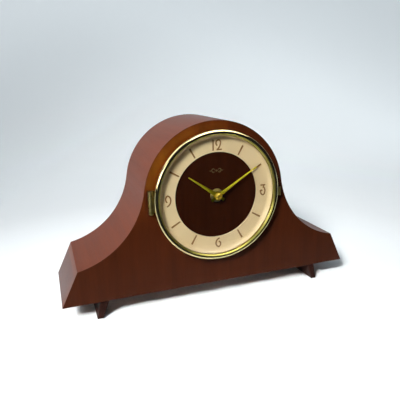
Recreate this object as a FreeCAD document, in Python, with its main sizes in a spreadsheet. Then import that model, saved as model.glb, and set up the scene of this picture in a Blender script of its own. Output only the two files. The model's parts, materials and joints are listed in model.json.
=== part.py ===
import FreeCAD, Part
import Sketcher
import math
import os

# A tambour mantel clock with a battery movement. The clock is drawn lying on its back:
# x runs to the right, y up the clock and z out of its front, with z = 0 on the front of the
# front panel. Each piece then stands up through its Placement, and the finished clock has
# +Z up, its front towards -Y and its origin under the middle of the feet.

NOTHING = 1.0e-6        # a length this small puts a point on an axis
doc = FreeCAD.newDocument("mantel_clock")
sheet = doc.addObject("Spreadsheet::Sheet", "dims")
layout = doc.addObject("App::VarSet", "layout")
nodes = {}


# ---------------------------------------------------------------- sizes and expressions
# A size carries its number, and the text that the document's expressions know it by.
class Size:
    def __init__(self, value, text=None):
        self.value = float(value)
        self.text = text or f"({self.value:.10g})"

    def __add__(self, other):
        other = as_size(other)
        return Size(self.value + other.value, f"({self.text} + {other.text})")

    def __sub__(self, other):
        other = as_size(other)
        return Size(self.value - other.value, f"({self.text} - {other.text})")

    def __mul__(self, other):
        other = as_size(other)
        return Size(self.value * other.value, f"({self.text} * {other.text})")

    def __truediv__(self, other):
        other = as_size(other)
        return Size(self.value / other.value, f"({self.text} / {other.text})")

    def __rsub__(self, other):
        return as_size(other) - self

    def __neg__(self):
        return as_size(0) - self

    __radd__ = __add__
    __rmul__ = __mul__


def as_size(number):
    return number if isinstance(number, Size) else Size(number)


def root(size):
    return Size(math.sqrt(size.value), f"sqrt({size.text})")


# Driving dimensions, in millimetres, degrees or teeth.
driving = {
    # wooden case
    "case_width": 360, "case_depth": 100, "end_lean": 19, "shoulder_height": 39.4,
    "arch_margin": 9.7, "cove_radius": 97, "dial_height": 108.5,
    "front_board": 9, "shell_board": 7, "end_board": 9, "base_board": 9,
    "back_board": 6, "back_inset": 8, "block_side": 15, "block_length": 42,
    "foot_height": 22, "foot_inset": 36, "foot_head": 10, "foot_sole": 6.9, "foot_lean": 5.2,
    "foot_setback": 3, "foot_screw_clear": 6, "foot_screw_inset": 22,
    # rear door
    "door_margin": 30, "door_height": 100, "door_base": 50, "door_gap": 0.8,
    "knob_radius": 6, "knob_reach": 6.5, "knob_inset": 12, "spigot_radius": 1.8,
    "butt_length": 24, "butt_leaf": 11, "butt_sheet": 0.8, "butt_barrel": 1.9, "butt_pin": 0.9,
    "butt_cap": 0.8,
    "magnet_width": 20, "magnet_height": 14, "magnet_depth": 9, "strike_sheet": 0.8,
    # chapter ring and markers
    "ring_ease": 0.4, "rim_width": 5, "ring_band": 14, "ring_stand": 1.7, "ring_rim": 6.2,
    "ring_sheet": 0.8, "marker_height": 0.2, "bar_length": 12, "bar_width": 2.2,
    "bar_taper": 0.72, "bar_inset": 0.2, "stroke": 1.65, "ring_foot": 0.9, "ring_foot_depth": 5,
    # bezel door
    "bezel_radius": 75.3, "bezel_crest": 10.2, "bezel_sheet": 0.8, "bezel_lift": 0.4,
    "bezel_land": 4.9, "sight_lip": 1, "skirt_low": 5.4, "glass_seat": 8.4, "glass_ease": 0.15,
    "glass_sheet": 1.4, "glass_rise": 3.8, "corner_radius": 2.2,
    "hinge_radius": 2.5, "hinge_wire": 1.1, "hinge_stand": 4.6, "hinge_length": 26,
    "hinge_sheet": 0.9, "hinge_plate": 14, "tab_reach": 5.6, "tab_height": 10,
    "tab_sheet": 1, "tab_drop": 2, "tab_stand": 4,
    # hands
    "hour_angle": 304.83, "minute_angle": 58, "hour_margin": 8, "minute_margin": 7.6,
    "hour_root": 5, "minute_root": 4.6, "hand_tip": 1.2, "hand_sheet": 0.5, "hand_ridge": 1.1,
    "hub_radius": 5.2, "tail_reach": 9.6, "tail_width": 3.4, "nut_radius": 4.2,
    "nut_height": 3.4,
    # movement
    "box_wall": 1.5, "box_split": 10, "contact_room": 1.5, "train_room": 9.2, "gasket": 1,
    "gasket_radius": 12, "bush_radius": 4, "bush_flange": 6, "washer_radius": 7.8,
    "washer_sheet": 0.5, "nut_flats": 12, "nut_sheet": 1.8, "thread_stand": 0.4,
    "hour_pipe": 2.5, "minute_pipe": 1.6, "hand_screw": 1.2, "pipe_play": 0.1,
    "battery_radius": 7.1, "battery_length": 50, "cell_room": 1.1,
    "motion_module": 0.3, "train_module": 0.25, "motion_reach": 9, "third_reach": 8.5,
    "intermediate_reach": 7, "rotor_reach": 6, "stem_radius": 0.9, "set_knob_radius": 5,
    "set_knob_height": 4, "arbor_radius": 0.4, "rotor_radius": 3, "plate_sheet": 0.5,
    "pivot_play": 0.05, "post_radius": 1.5, "boss_radius": 2.4, "core_post": 1,
    "coil_radius": 2.4, "cheek_radius": 3, "cheek_sheet": 0.8, "stator_sheet": 0.8,
    # fits
    "slack": 0.05, "running": 0.3,
}


# The sheet holds every driving dimension; size.NAME is the way the code below reads it.
class Sizes:
    pass


size = Sizes()
for row, (alias, number) in enumerate(driving.items(), start=1):
    sheet.set(f"A{row}", alias)
    sheet.set(f"B{row}", str(number))
    sheet.setAlias(f"B{row}", alias)
    setattr(size, alias, Size(number, f"dims.{alias}"))


# A derived size is kept on the layout object, where its expression can be read and reused.
def derived(name, value):
    layout.addProperty("App::PropertyFloat", name)
    layout.setExpression(name, value.text)
    return Size(value.value, f"layout.{name}")


def bind(thing, place, value):
    value = as_size(value)
    thing.setExpression(place, value.text)


# ---------------------------------------------------------------- primitives and booleans
TURNS = {
    "+z": FreeCAD.Rotation(),
    "-z": FreeCAD.Rotation(FreeCAD.Vector(1, 0, 0), 180),
    "+y": FreeCAD.Rotation(FreeCAD.Vector(1, 0, 0), -90),
    "-y": FreeCAD.Rotation(FreeCAD.Vector(1, 0, 0), 90),
    "+x": FreeCAD.Rotation(FreeCAD.Vector(0, 1, 0), 90),
    "-x": FreeCAD.Rotation(FreeCAD.Vector(0, 1, 0), -90),
}


def move(thing, x=0, y=0, z=0, facing="+z"):
    thing.Placement = FreeCAD.Placement(FreeCAD.Vector(), TURNS[facing])
    for axis, place in zip("xyz", (x, y, z)):
        bind(thing, "Placement.Base." + axis, place)
    return thing


# A block between a low and a high value on each axis.
def block(label, x, y, z):
    thing = doc.addObject("Part::Box", label)
    for side, (low, high) in zip(("Length", "Width", "Height"), (x, y, z)):
        bind(thing, side, as_size(high) - low)
    return move(thing, x[0], y[0], z[0])


def rod(label, radius, low, high, x=0, y=0):
    thing = doc.addObject("Part::Cylinder", label)
    bind(thing, "Radius", radius)
    bind(thing, "Height", as_size(high) - low)
    return move(thing, x, y, low)


# A rod along y or x, from its low to its high end.
def cross_rod(label, radius, low, high, facing, x=0, y=0, z=0):
    thing = doc.addObject("Part::Cylinder", label)
    bind(thing, "Radius", radius)
    bind(thing, "Height", as_size(high) - low)
    if facing == "+y":
        return move(thing, x, low, z, facing)
    return move(thing, low, y, z, facing)


def cone(label, low_radius, high_radius, low, high):
    thing = doc.addObject("Part::Cone", label)
    bind(thing, "Radius1", low_radius)
    bind(thing, "Radius2", high_radius)
    bind(thing, "Height", as_size(high) - low)
    return move(thing, 0, 0, low)


def fuse(label, *pieces):
    thing = doc.addObject("Part::MultiFuse", label)
    thing.Shapes = list(pieces)
    return thing


def cut(label, base, *tools):
    thing = doc.addObject("Part::Cut", label)
    thing.Base = base
    thing.Tool = tools[0] if len(tools) == 1 else fuse(label + "_tools", *tools)
    return thing


def common(label, one, other):
    thing = doc.addObject("Part::MultiCommon", label)
    thing.Shapes = [one, other]
    return thing


def group(label, *pieces):
    thing = doc.addObject("Part::Compound", label)
    thing.Links = list(pieces)
    return thing


def tube(label, outer, inner, low, high, x=0, y=0):
    return cut(label, rod(label + "_rod", outer, low, high, x, y),
               rod(label + "_bore", inner, as_size(low) - 1, as_size(high) + 1, x, y))


# ---------------------------------------------------------------- sketched bodies
def body(label):
    return doc.addObject("PartDesign::Body", label)


def sketch(owner, label, offset=0, plane="XY_Plane", turn=0):
    drawing = owner.newObject("Sketcher::SketchObject", label)
    origin_plane = next(item for item in owner.Origin.OriginFeatures if item.Role == plane)
    drawing.AttachmentSupport = [(origin_plane, "")]
    drawing.MapMode = "FlatFace"
    drawing.AttachmentOffset = FreeCAD.Placement(
        FreeCAD.Vector(), FreeCAD.Rotation(FreeCAD.Vector(0, 0, 1), turn))
    bind(drawing, "AttachmentOffset.Base.z", offset)
    return drawing


def fix(drawing, kind, item, point, value):
    value = as_size(value)
    if abs(value.value) < NOTHING:
        axis = -2 if kind == "DistanceX" else -1
        drawing.addConstraint(Sketcher.Constraint("PointOnObject", item, point, axis))
        return
    mark = drawing.addConstraint(Sketcher.Constraint(kind, -1, 1, item, point, value.value))
    drawing.setExpression(f"Constraints[{mark}]", value.text)


def draw_circle(drawing, radius, x=0, y=0):
    radius, x, y = as_size(radius), as_size(x), as_size(y)
    centre = FreeCAD.Vector(x.value, y.value, 0)
    item = drawing.addGeometry(Part.Circle(centre, FreeCAD.Vector(0, 0, 1), radius.value))
    mark = drawing.addConstraint(Sketcher.Constraint("Radius", item, radius.value))
    drawing.setExpression(f"Constraints[{mark}]", radius.text)
    fix(drawing, "DistanceX", item, 3, x)
    fix(drawing, "DistanceY", item, 3, y)


# A bend is the arc that leaves a corner of an outline: its radius, its centre and its sense.
class Bend:
    def __init__(self, radius, x, y, left=True):
        self.radius, self.x, self.y = as_size(radius), as_size(x), as_size(y)
        self.left = left

    def draw(self, drawing, start, end):
        centre = FreeCAD.Vector(self.x.value, self.y.value, 0)
        circle = Part.Circle(centre, FreeCAD.Vector(0, 0, 1), self.radius.value)
        first, last = (start, end) if self.left else (end, start)
        angles = [math.atan2(place.y - centre.y, place.x - centre.x) for place in (first, last)]
        item = drawing.addGeometry(Part.ArcOfCircle(circle, angles[0], angles[1]))
        mark = drawing.addConstraint(Sketcher.Constraint("Radius", item, self.radius.value))
        drawing.setExpression(f"Constraints[{mark}]", self.radius.text)
        return (item, 1, 2) if self.left else (item, 2, 1)


# A closed outline through its corners. A corner is (x, y) or (x, y, bend).
def draw_outline(drawing, corners):
    corners = [(as_size(corner[0]), as_size(corner[1]), *corner[2:]) for corner in corners]
    spots = [FreeCAD.Vector(corner[0].value, corner[1].value, 0) for corner in corners]
    runs = []
    for index, corner in enumerate(corners):
        start, end = spots[index], spots[(index + 1) % len(spots)]
        if len(corner) == 3:
            runs.append(corner[2].draw(drawing, start, end))
        else:
            runs.append((drawing.addGeometry(Part.LineSegment(start, end)), 1, 2))
    for index, (item, first, last) in enumerate(runs):
        after = runs[(index + 1) % len(runs)]
        drawing.addConstraint(Sketcher.Constraint("Coincident", item, last, after[0], after[1]))
        fix(drawing, "DistanceX", item, first, corners[index][0])
        fix(drawing, "DistanceY", item, first, corners[index][1])
    return drawing


def pad(owner, drawing, height):
    feature = owner.newObject("PartDesign::Pad", drawing.Label + "_pad")
    feature.Profile = drawing
    bind(feature, "Length", height)
    owner.Tip = feature
    return feature


# A pocket through the whole body, both ways from its sketch.
def pierce(owner, drawing):
    feature = owner.newObject("PartDesign::Pocket", drawing.Label + "_pocket")
    feature.Profile = drawing
    feature.Type = 1
    feature.Midplane = True
    owner.Tip = feature
    return feature


def pad_outline(owner, label, corners, low, high, turn=0):
    return pad(owner, draw_outline(sketch(owner, label, low, turn=turn), corners),
               as_size(high) - low)


def pad_disc(owner, label, radius, low, high):
    drawing = sketch(owner, label, low)
    draw_circle(drawing, radius)
    return pad(owner, drawing, as_size(high) - low)


def bore(owner, label, *circles):
    drawing = sketch(owner, label)
    for circle in circles:
        draw_circle(drawing, *circle)
    return pierce(owner, drawing)


# A piece turned about z, from its half section in x and z.
def turned(label, corners):
    owner = body(label)
    drawing = draw_outline(sketch(owner, label + "_section", plane="XZ_Plane"), corners)
    feature = owner.newObject("PartDesign::Revolution", label + "_turning")
    feature.Profile = drawing
    feature.ReferenceAxis = (drawing, ["V_Axis"])
    feature.Angle = 360
    owner.Tip = feature
    return owner


# ---------------------------------------------------------------- gears
ADDENDUM, DEDENDUM = 0.75, 1.15         # of the module
ROOT_LAND, TIP_LAND = 0.24, 0.09        # half a tooth's width over the circular pitch


def gear(owner, label, teeth, module, low, high, turn=0):
    pitch = module * math.pi
    root_radius = module * (teeth / 2 - DEDENDUM)
    tip_radius = module * (teeth / 2 + ADDENDUM)
    pad_disc(owner, label + "_blank", root_radius, low, high)
    foot = root_radius - module * 0.2
    corners = [(foot, -pitch * ROOT_LAND), (tip_radius, -pitch * TIP_LAND),
               (tip_radius, pitch * TIP_LAND), (foot, pitch * ROOT_LAND)]
    tooth = pad_outline(owner, label + "_tooth", corners, low, high, turn)
    pattern = owner.newObject("PartDesign::PolarPattern", label + "_teeth")
    pattern.Originals = [tooth]
    pattern.Axis = (tooth.Profile[0], ["N_Axis"])
    pattern.Angle = 360
    pattern.Occurrences = teeth
    owner.Tip = pattern


# The turn that brings a driven gear into mesh, when it lies in the given direction.
def mesh_turn(direction, teeth, turn, driven_teeth):
    ratio = teeth / driven_teeth
    return (direction + 180 - 180 / driven_teeth + (direction - turn) * ratio) % 360


# ---------------------------------------------------------------- screws
def screw_form(label, kind, grow=0):
    head, shank, length, rise = kind
    shaft = rod(label + "_shank", shank + grow, -length, 0)
    if rise.value > 0:
        head_form = cone(label + "_head", head + grow, head * 0.55 + grow, 0, rise)
    else:
        head_form = cone(label + "_head", shank + grow, head + grow, -head * 0.7, 0)
    return fuse(label + "_form", shaft, head_form)


# A slotted screw with the seat of its head at the given place, its head towards facing.
def screw(label, kind, place, facing):
    head, shank, length, rise = kind
    slot = block(label + "_slot", (-head * 1.2, head * 1.2), (-head * 0.12, head * 0.12),
                 (rise - head * 0.25, rise + head))
    return move(cut(label, screw_form(label, kind), slot), *place, facing)


# The hole that such a screw fits.
def screw_hole(label, kind, place, facing):
    return move(screw_form(label, kind, size.slack), *place, facing)


# ---------------------------------------------------------------- standing the pieces up
arch_radius = derived("arch_radius", size.bezel_radius + size.arch_margin)
arch_inner = derived("arch_inner", arch_radius - size.shell_board)
glass_edge = derived("glass_edge", size.glass_seat - size.glass_ease)
glass_front = derived("glass_front", glass_edge + size.glass_rise)
case_front = derived("case_front", (glass_front - size.case_depth) / 2)
dial_axis = derived("dial_axis", size.foot_height + size.dial_height)


# Adds a finished piece, drawn about a point that is height above the floor, as a node. A
# primitive, which has a place of its own in the drawing, goes into a group that stands up.
def stand(label, thing, height, x=0, y=0, z=0):
    whole = thing
    if thing.Label != label:
        whole = group(label, thing)
    whole.Placement = FreeCAD.Placement(FreeCAD.Vector(),
                                        FreeCAD.Rotation(FreeCAD.Vector(1, 0, 0), 90))
    bind(whole, "Placement.Base.x", x)
    bind(whole, "Placement.Base.y", case_front - z)
    bind(whole, "Placement.Base.z", as_size(height) + y)
    nodes[label] = whole
    return whole


# ---------------------------------------------------------------- the case
# The outline of the case: an arch about the dial, a cove on either side that meets the arch
# in a tangent and ends at the shoulder, and a sloping end below the shoulder.
half_width = derived("half_width", size.case_width / 2)
shoulder = derived("shoulder", half_width - size.end_lean)
dial_lift = size.dial_height - size.shoulder_height
span = derived("span", root(shoulder * shoulder + dial_lift * dial_lift))
touch = arch_radius + size.cove_radius
along = derived("along", (touch * touch - size.cove_radius * size.cove_radius
                          + span * span) / (span * 2))
aside = derived("aside", root(touch * touch - along * along))
cove_x = derived("cove_x", (along * shoulder + aside * dial_lift) / span)
cove_y = derived("cove_y", size.dial_height - (along * dial_lift - aside * shoulder) / span)
end_length = derived("end_length", root((half_width - shoulder) * (half_width - shoulder)
                                        + size.shoulder_height * size.shoulder_height))
end_slope = derived("end_slope", (half_width - shoulder) / size.shoulder_height)
case_back = derived("case_back", -size.case_depth)
board_back = derived("board_back", -size.front_board)
panel_rear = derived("panel_rear", case_back + size.back_inset)
panel_face = derived("panel_face", panel_rear + size.back_board)


# The two circles' shares of the line between them give the point where arch meets cove.
def tangent_point(sink):
    share = (arch_radius - sink) / touch
    return cove_x * share, size.dial_height + (cove_y - size.dial_height) * share


# Where a cove of this radius meets the sloping end, set in by a distance along x.
def cove_end(radius, inward):
    far = half_width - inward - cove_x
    slope_square = end_slope * end_slope + 1
    middle = cove_y + far * end_slope
    reach = far * far + cove_y * cove_y - radius * radius
    height = (middle - root(middle * middle - slope_square * reach)) / slope_square
    return half_width - inward - end_slope * height, height


def outline(sink, inward, floor):
    arch = Bend(arch_radius - sink, 0, size.dial_height)
    coves = [Bend(size.cove_radius + sink, side * cove_x, cove_y, left=False)
             for side in (1, -1)]
    end_x, end_y = cove_end(size.cove_radius + sink, inward)
    top_x, top_y = tangent_point(sink)
    foot_x = half_width - inward - end_slope * floor
    return [(-foot_x, floor), (foot_x, floor), (end_x, end_y, coves[0]), (top_x, top_y, arch),
            (-top_x, top_y, coves[1]), (-end_x, end_y)]


end_across = derived("end_across", size.end_board * end_length / size.shoulder_height)
FOOT_SCREW = (Size(3.4), Size(1.7), Size(19), Size(0))
PANEL_SCREW = (Size(3), Size(1.5), Size(16), Size(1.4))
BUTT_SCREW = (Size(1.7), Size(0.8), Size(4.8), Size(0.7))
HINGE_SCREW = (Size(1.5), Size(0.8), Size(6), Size(0))

foot_outer = derived("foot_outer", half_width - size.foot_inset)
foot_top = derived("foot_top", foot_outer - size.foot_lean)
foot_back = derived("foot_back", case_back + size.foot_setback)
foot_screw_spots = [(side * (foot_top - size.foot_head * 0.3), size.base_board, depth)
                    for side in (1, -1)
                    for depth in (board_back - size.block_side - size.foot_screw_clear,
                                  foot_back + size.foot_screw_inset)]
# The back panel is screwed to blocks: two on the base board and two under the arch's crown.
CROWN_TURN = math.radians(70)
LOW_BLOCK_SHARE = 0.64                          # of the case's half width
GLUE_BLOCK_SHARES = (-0.62, -0.22, 0.22, 0.62)
block_low_x = derived("block_low_x", half_width * LOW_BLOCK_SHARE)
block_high_at = derived("block_high_at", arch_inner - size.block_side / 2)
block_high_x = derived("block_high_x", block_high_at * math.cos(CROWN_TURN))
block_high_y = derived("block_high_y", size.dial_height + block_high_at * math.sin(CROWN_TURN))
panel_screw_spots = [(side * block_low_x, size.base_board + size.block_side / 2, panel_rear)
                     for side in (1, -1)]
panel_screw_spots += [(side * block_high_x, block_high_y, panel_rear) for side in (1, -1)]


def front_panel():
    owner = body("front_panel_board")
    pad_outline(owner, "front_outline", outline(0, 0, 0), board_back, 0)
    bore(owner, "shaft_hole", (size.bush_radius + size.pipe_play, 0, size.dial_height))
    tools = [hinge_mortise()]
    tools += [move_up(tool) for tool in panel_fixings("panel")]
    stand("front_panel", cut("front_panel", owner, *tools), size.foot_height)


def top_shell():
    owner = body("top_shell")
    outer, inner = outline(0, 0, 0), outline(size.shell_board, 0, 0)
    lip = [Bend(bend.radius, bend.x, bend.y, not bend.left) for bend in
           (inner[4][2], inner[3][2], inner[2][2])]
    corners = outer[2:6] + [(*inner[5][:2], lip[0]), (*inner[4][:2], lip[1]),
                            (*inner[3][:2], lip[2]), inner[2][:2]]
    pad_outline(owner, "shell_outline", corners, case_back, board_back)
    stand("top_shell", owner, size.foot_height)


def end_boards():
    outer_x, outer_y = cove_end(size.cove_radius + size.shell_board, 0)
    inner_x, inner_y = cove_end(size.cove_radius + size.shell_board, end_across)
    for side, name in ((1, "right"), (-1, "left")):
        owner = body(f"end_board_{name}")
        under = Bend(size.cove_radius + size.shell_board, side * cove_x, cove_y, side < 0)
        corners = [(side * (half_width - end_across), 0), (side * half_width, 0),
                   (side * outer_x, outer_y, under), (side * inner_x, inner_y)]
        pad_outline(owner, f"end_outline_{name}", corners, case_back, board_back)
        stand(f"end_board_{name}", owner, size.foot_height)


def base_board():
    owner = body("base_plank")
    low = half_width - end_across
    high = low - end_slope * size.base_board
    corners = [(-low, 0), (low, 0), (high, size.base_board), (-high, size.base_board)]
    pad_outline(owner, "base_outline", corners, case_back, board_back)
    holes = [screw_hole(f"base_hole_{index}", FOOT_SCREW, spot, "+y")
             for index, spot in enumerate(foot_screw_spots)]
    stand("base_board", cut("base_board", owner, *holes), size.foot_height)


def feet():
    for side, name in ((1, "right"), (-1, "left")):
        owner = body(f"foot_rail_{name}")
        corners = [(side * (foot_top - size.foot_head), 0),
                   (side * (foot_outer - size.foot_sole), -size.foot_height),
                   (side * foot_outer, -size.foot_height), (side * foot_top, 0)]
        pad_outline(owner, f"foot_outline_{name}", corners, foot_back, -size.foot_setback)
        pair = foot_screw_spots[:2] if side > 0 else foot_screw_spots[2:]
        holes = [screw_hole(f"foot_{name}_hole_{index}", FOOT_SCREW, spot, "+y")
                 for index, spot in enumerate(pair)]
        stand(f"foot_{name}", cut(f"foot_{name}", owner, *holes), size.foot_height)
    screws = [screw(f"foot_screw_{index}", FOOT_SCREW, spot, "+y")
              for index, spot in enumerate(foot_screw_spots)]
    stand("foot_screws", group("foot_screws", *screws), size.foot_height)


door_left = derived("door_left", size.door_margin - arch_inner)
door_top = derived("door_top", size.door_base + size.door_height)
door_middle = derived("door_middle", size.door_base + size.door_height / 2)


def back_panel():
    owner = body("back_panel_board")
    inner = outline(size.shell_board, end_across, size.base_board)
    pad_outline(owner, "back_outline", inner, panel_rear, panel_face)
    opening = block("door_opening", (door_left, -door_left), (size.door_base, door_top),
                    (panel_rear - 1, panel_face + 1))
    holes = [screw_hole(f"panel_hole_{index}", PANEL_SCREW, spot, "-z")
             for index, spot in enumerate(panel_screw_spots)]
    holes += [screw_hole(f"butt_case_hole_{index}", BUTT_SCREW, spot, "-z")
              for index, spot in enumerate(butt_screw_spots(-1))]
    stand("back_panel", cut("back_panel", owner, opening, *holes), size.foot_height)
    screws = [screw(f"back_panel_screw_{index}", PANEL_SCREW, spot, "-z")
              for index, spot in enumerate(panel_screw_spots)]
    stand("back_panel_screws", group("back_panel_screws", *screws), size.foot_height)


def blocks():
    side = size.block_side
    pieces = []
    for index, place in enumerate(GLUE_BLOCK_SHARES):
        owner = body(f"glue_block_{index}")
        drawing = sketch(owner, f"glue_outline_{index}", half_width * place - size.block_length / 2,
                         "YZ_Plane")
        draw_outline(drawing, [(size.base_board, board_back), (size.base_board, board_back - side),
                               (size.base_board + side, board_back)])
        pad(owner, drawing, size.block_length)
        pieces.append(owner)
    arch = rod("arch_inside", arch_inner, panel_face - 1, board_back, 0, size.dial_height)
    holders = []
    for index, (x, y, _) in enumerate(panel_screw_spots):
        top = y + side / 2 if index < 2 else y + side * 2
        rough = block(f"holder_{index}_rough", (x - side / 2, x + side / 2), (y - side / 2, top),
                      (panel_face, panel_face + side))
        if index > 1:
            rough = common(f"holder_{index}_fitted", rough, arch)
        hole = screw_hole(f"holder_hole_{index}", PANEL_SCREW, panel_screw_spots[index], "-z")
        holders.append(cut(f"holder_{index}", rough, hole))
    stand("glue_blocks", group("glue_blocks", *pieces, *holders), size.foot_height)


# ---------------------------------------------------------------- the rear door
butt_x = derived("butt_x", door_left + size.door_gap / 2)
butt_z = derived("butt_z", panel_rear - size.butt_barrel)
butt_heights = [size.door_base + size.door_height * share for share in (0.2, 0.8)]
BUTT_SCREW_SHARES = (-0.3, 0.3)                 # of a butt's length, from its middle
KNUCKLE_SHARES = ((-0.5, -0.18), (-0.16, 0.16), (0.18, 0.5))


def butt_screw_spots(side):
    reach = size.butt_barrel + (size.butt_leaf - size.butt_barrel) * 0.55
    return [(butt_x + side * reach, height + offset * size.butt_length, panel_rear
             - size.butt_sheet)
            for height in butt_heights for offset in BUTT_SCREW_SHARES]


# One half of the two butt hinges: side -1 is screwed to the case and 1 to the door.
def butt_leaves(side, label, screw_label):
    leaves = []
    for index, height in enumerate(butt_heights):
        name = f"{label}_{index}"
        length = size.butt_length
        shares = KNUCKLE_SHARES[::2] if side < 0 else KNUCKLE_SHARES[1:2]
        plain = size.butt_barrel + size.running
        z_span = (panel_rear - size.butt_sheet, panel_rear)
        x_far = butt_x + side * size.butt_leaf
        x_near = butt_x + side * plain
        low_x, high_x = (x_far, x_near) if side < 0 else (x_near, x_far)
        parts = [block(name + "_leaf", (low_x, high_x),
                       (height - length / 2, height + length / 2), z_span)]
        for share_index, (low, high) in enumerate(shares):
            y_span = (height + length * low, height + length * high)
            web = (x_near, butt_x) if side < 0 else (butt_x, x_near)
            parts.append(block(f"{name}_web_{share_index}", web, y_span, z_span))
            parts.append(cross_rod(f"{name}_knuckle_{share_index}", size.butt_barrel,
                                   *y_span, "+y", butt_x, z=butt_z))
        bore_rod = cross_rod(name + "_bore", size.butt_pin + size.slack, height - length,
                             height + length, "+y", butt_x, z=butt_z)
        spots = butt_screw_spots(side)[2 * index:2 * index + 2]
        holes = [screw_hole(f"{name}_hole_{spot_index}", BUTT_SCREW, spot, "-z")
                 for spot_index, spot in enumerate(spots)]
        leaves.append(cut(name, fuse(name + "_whole", *parts), bore_rod, *holes))
    stand(label, group(label, *leaves), size.foot_height)
    screws = [screw(f"{screw_label}_{index}", BUTT_SCREW, spot, "-z")
              for index, spot in enumerate(butt_screw_spots(side))]
    stand(screw_label, group(screw_label, *screws), size.foot_height)


def butt_pins():
    half = size.butt_length / 2
    pins = [fuse(f"butt_pin_{index}",
                 cross_rod(f"butt_wire_{index}", size.butt_pin, height - half, height + half,
                           "+y", butt_x, z=butt_z),
                 cross_rod(f"butt_cap_{index}", size.butt_barrel, height + half,
                           height + half + size.butt_cap, "+y", butt_x, z=butt_z))
            for index, height in enumerate(butt_heights)]
    stand("rear_hinge_pins", group("rear_hinge_pins", *pins), size.foot_height)


knob_x = derived("knob_x", -door_left - size.knob_inset)


def rear_door():
    gap = size.door_gap
    slab = block("rear_door_slab", (door_left + gap, -door_left - gap),
                 (size.door_base + gap, door_top - gap), (panel_rear, panel_face))
    spigot = rod("knob_hole", size.spigot_radius + size.slack, panel_rear - 1, panel_face + 1,
                 knob_x, door_middle)
    holes = [screw_hole(f"butt_door_hole_{index}", BUTT_SCREW, spot, "-z")
             for index, spot in enumerate(butt_screw_spots(1))]
    stand("rear_door", cut("rear_door", slab, spigot, *holes), size.foot_height)
    radius, reach = size.knob_radius, size.knob_reach
    knob = turned("rear_door_knob", [
        (0, size.back_board), (size.spigot_radius, size.back_board), (size.spigot_radius, 0),
        (radius * 0.62, 0), (radius * 0.5, -reach * 0.35), (radius * 0.85, -reach * 0.5),
        (radius, -reach * 0.72), (radius * 0.85, -reach * 0.93), (radius * 0.4, -reach),
        (0, -reach)])
    stand("rear_door_knob", knob, size.foot_height, knob_x, door_middle, panel_rear)


def door_catch():
    edge = -door_left
    deep = size.magnet_depth
    half = size.magnet_height / 2
    side = size.magnet_width / 2
    y_span = (door_middle - half, door_middle + half)
    body_block = block("magnet_case", (edge + 0.5, edge + side), y_span,
                       (panel_face, panel_face + deep))
    nose = block("magnet_nose", (edge - side * 0.7, edge + 0.5), y_span,
                 (panel_face + size.strike_sheet + size.slack, panel_face + deep))
    stand("magnet_catch", fuse("magnet_catch", body_block, nose), size.foot_height)
    strike = block("strike_plate", (edge - side * 0.9, edge - size.door_gap - 0.5), y_span,
                   (panel_face, panel_face + size.strike_sheet))
    stand("catch_strike", strike, size.foot_height)


# ---------------------------------------------------------------- the dial
def pegs(label, radius, low, high, at, angles, grow=0):
    pieces = []
    for index, angle in enumerate(angles):
        turn = math.radians(angle)
        pieces.append(rod(f"{label}_{index}", radius + grow, low, high,
                          at * math.cos(turn), at * math.sin(turn)))
    return pieces


skirt_radius = derived("skirt_radius", size.bezel_radius - size.bezel_land)
bezel_sight = derived("bezel_sight", skirt_radius - size.sight_lip)
ring_radius = derived("ring_radius", bezel_sight - size.ring_ease)
ring_flat = derived("ring_flat", ring_radius - size.rim_width)
ring_bore = derived("ring_bore", ring_flat - size.ring_band)
RING_FOOT_ANGLES = (90, 210, 330)
ring_foot_at = derived("ring_foot_at", (ring_bore + ring_flat) / 2)
ring_back = derived("ring_back", size.ring_stand - size.ring_sheet)
clip_x = derived("clip_x", skirt_radius + size.bezel_sheet + size.running)
CLIP_SCREW = (Size(1.2), Size(0.6), Size(5), Size(0.4))
hinge_x = derived("hinge_x", -(size.bezel_radius + size.running + size.hinge_radius))
plate_left = derived("plate_left", hinge_x - size.hinge_radius)
plate_right = derived("plate_right", plate_left + size.hinge_plate)
hinge_screw_spots = [(plate_right - 3.5, side * size.hinge_length * 0.28, 0)
                     for side in (1, -1)]


# Everything let into the front panel, drawn about the dial's axis.
def panel_fixings(label):
    tools = pegs(label + "_ring_foot", size.ring_foot, -size.ring_foot_depth, 1, ring_foot_at,
                 RING_FOOT_ANGLES, size.slack)
    tools += [screw_hole(f"{label}_hinge_hole_{index}", HINGE_SCREW, spot, "+z")
              for index, spot in enumerate(hinge_screw_spots)]
    tools.append(screw_hole(label + "_clip_hole", CLIP_SCREW, clip_screw_spot(), "+z"))
    return tools


def move_up(tool):
    y = tool.Placement.Base.y
    for place, text in tool.ExpressionEngine:
        if place == ".Placement.Base.y" or place == "Placement.Base.y":
            tool.setExpression("Placement.Base.y", f"({text} + {size.dial_height.text})")
            return tool
    bind(tool, "Placement.Base.y", size.dial_height + y)
    return tool


def hinge_mortise():
    half = size.hinge_length / 2 + size.slack
    middle = size.dial_height
    return block("hinge_mortise", (plate_left - size.slack, plate_right + size.slack),
                 (middle - half, middle + half), (-size.hinge_sheet, 1))


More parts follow.
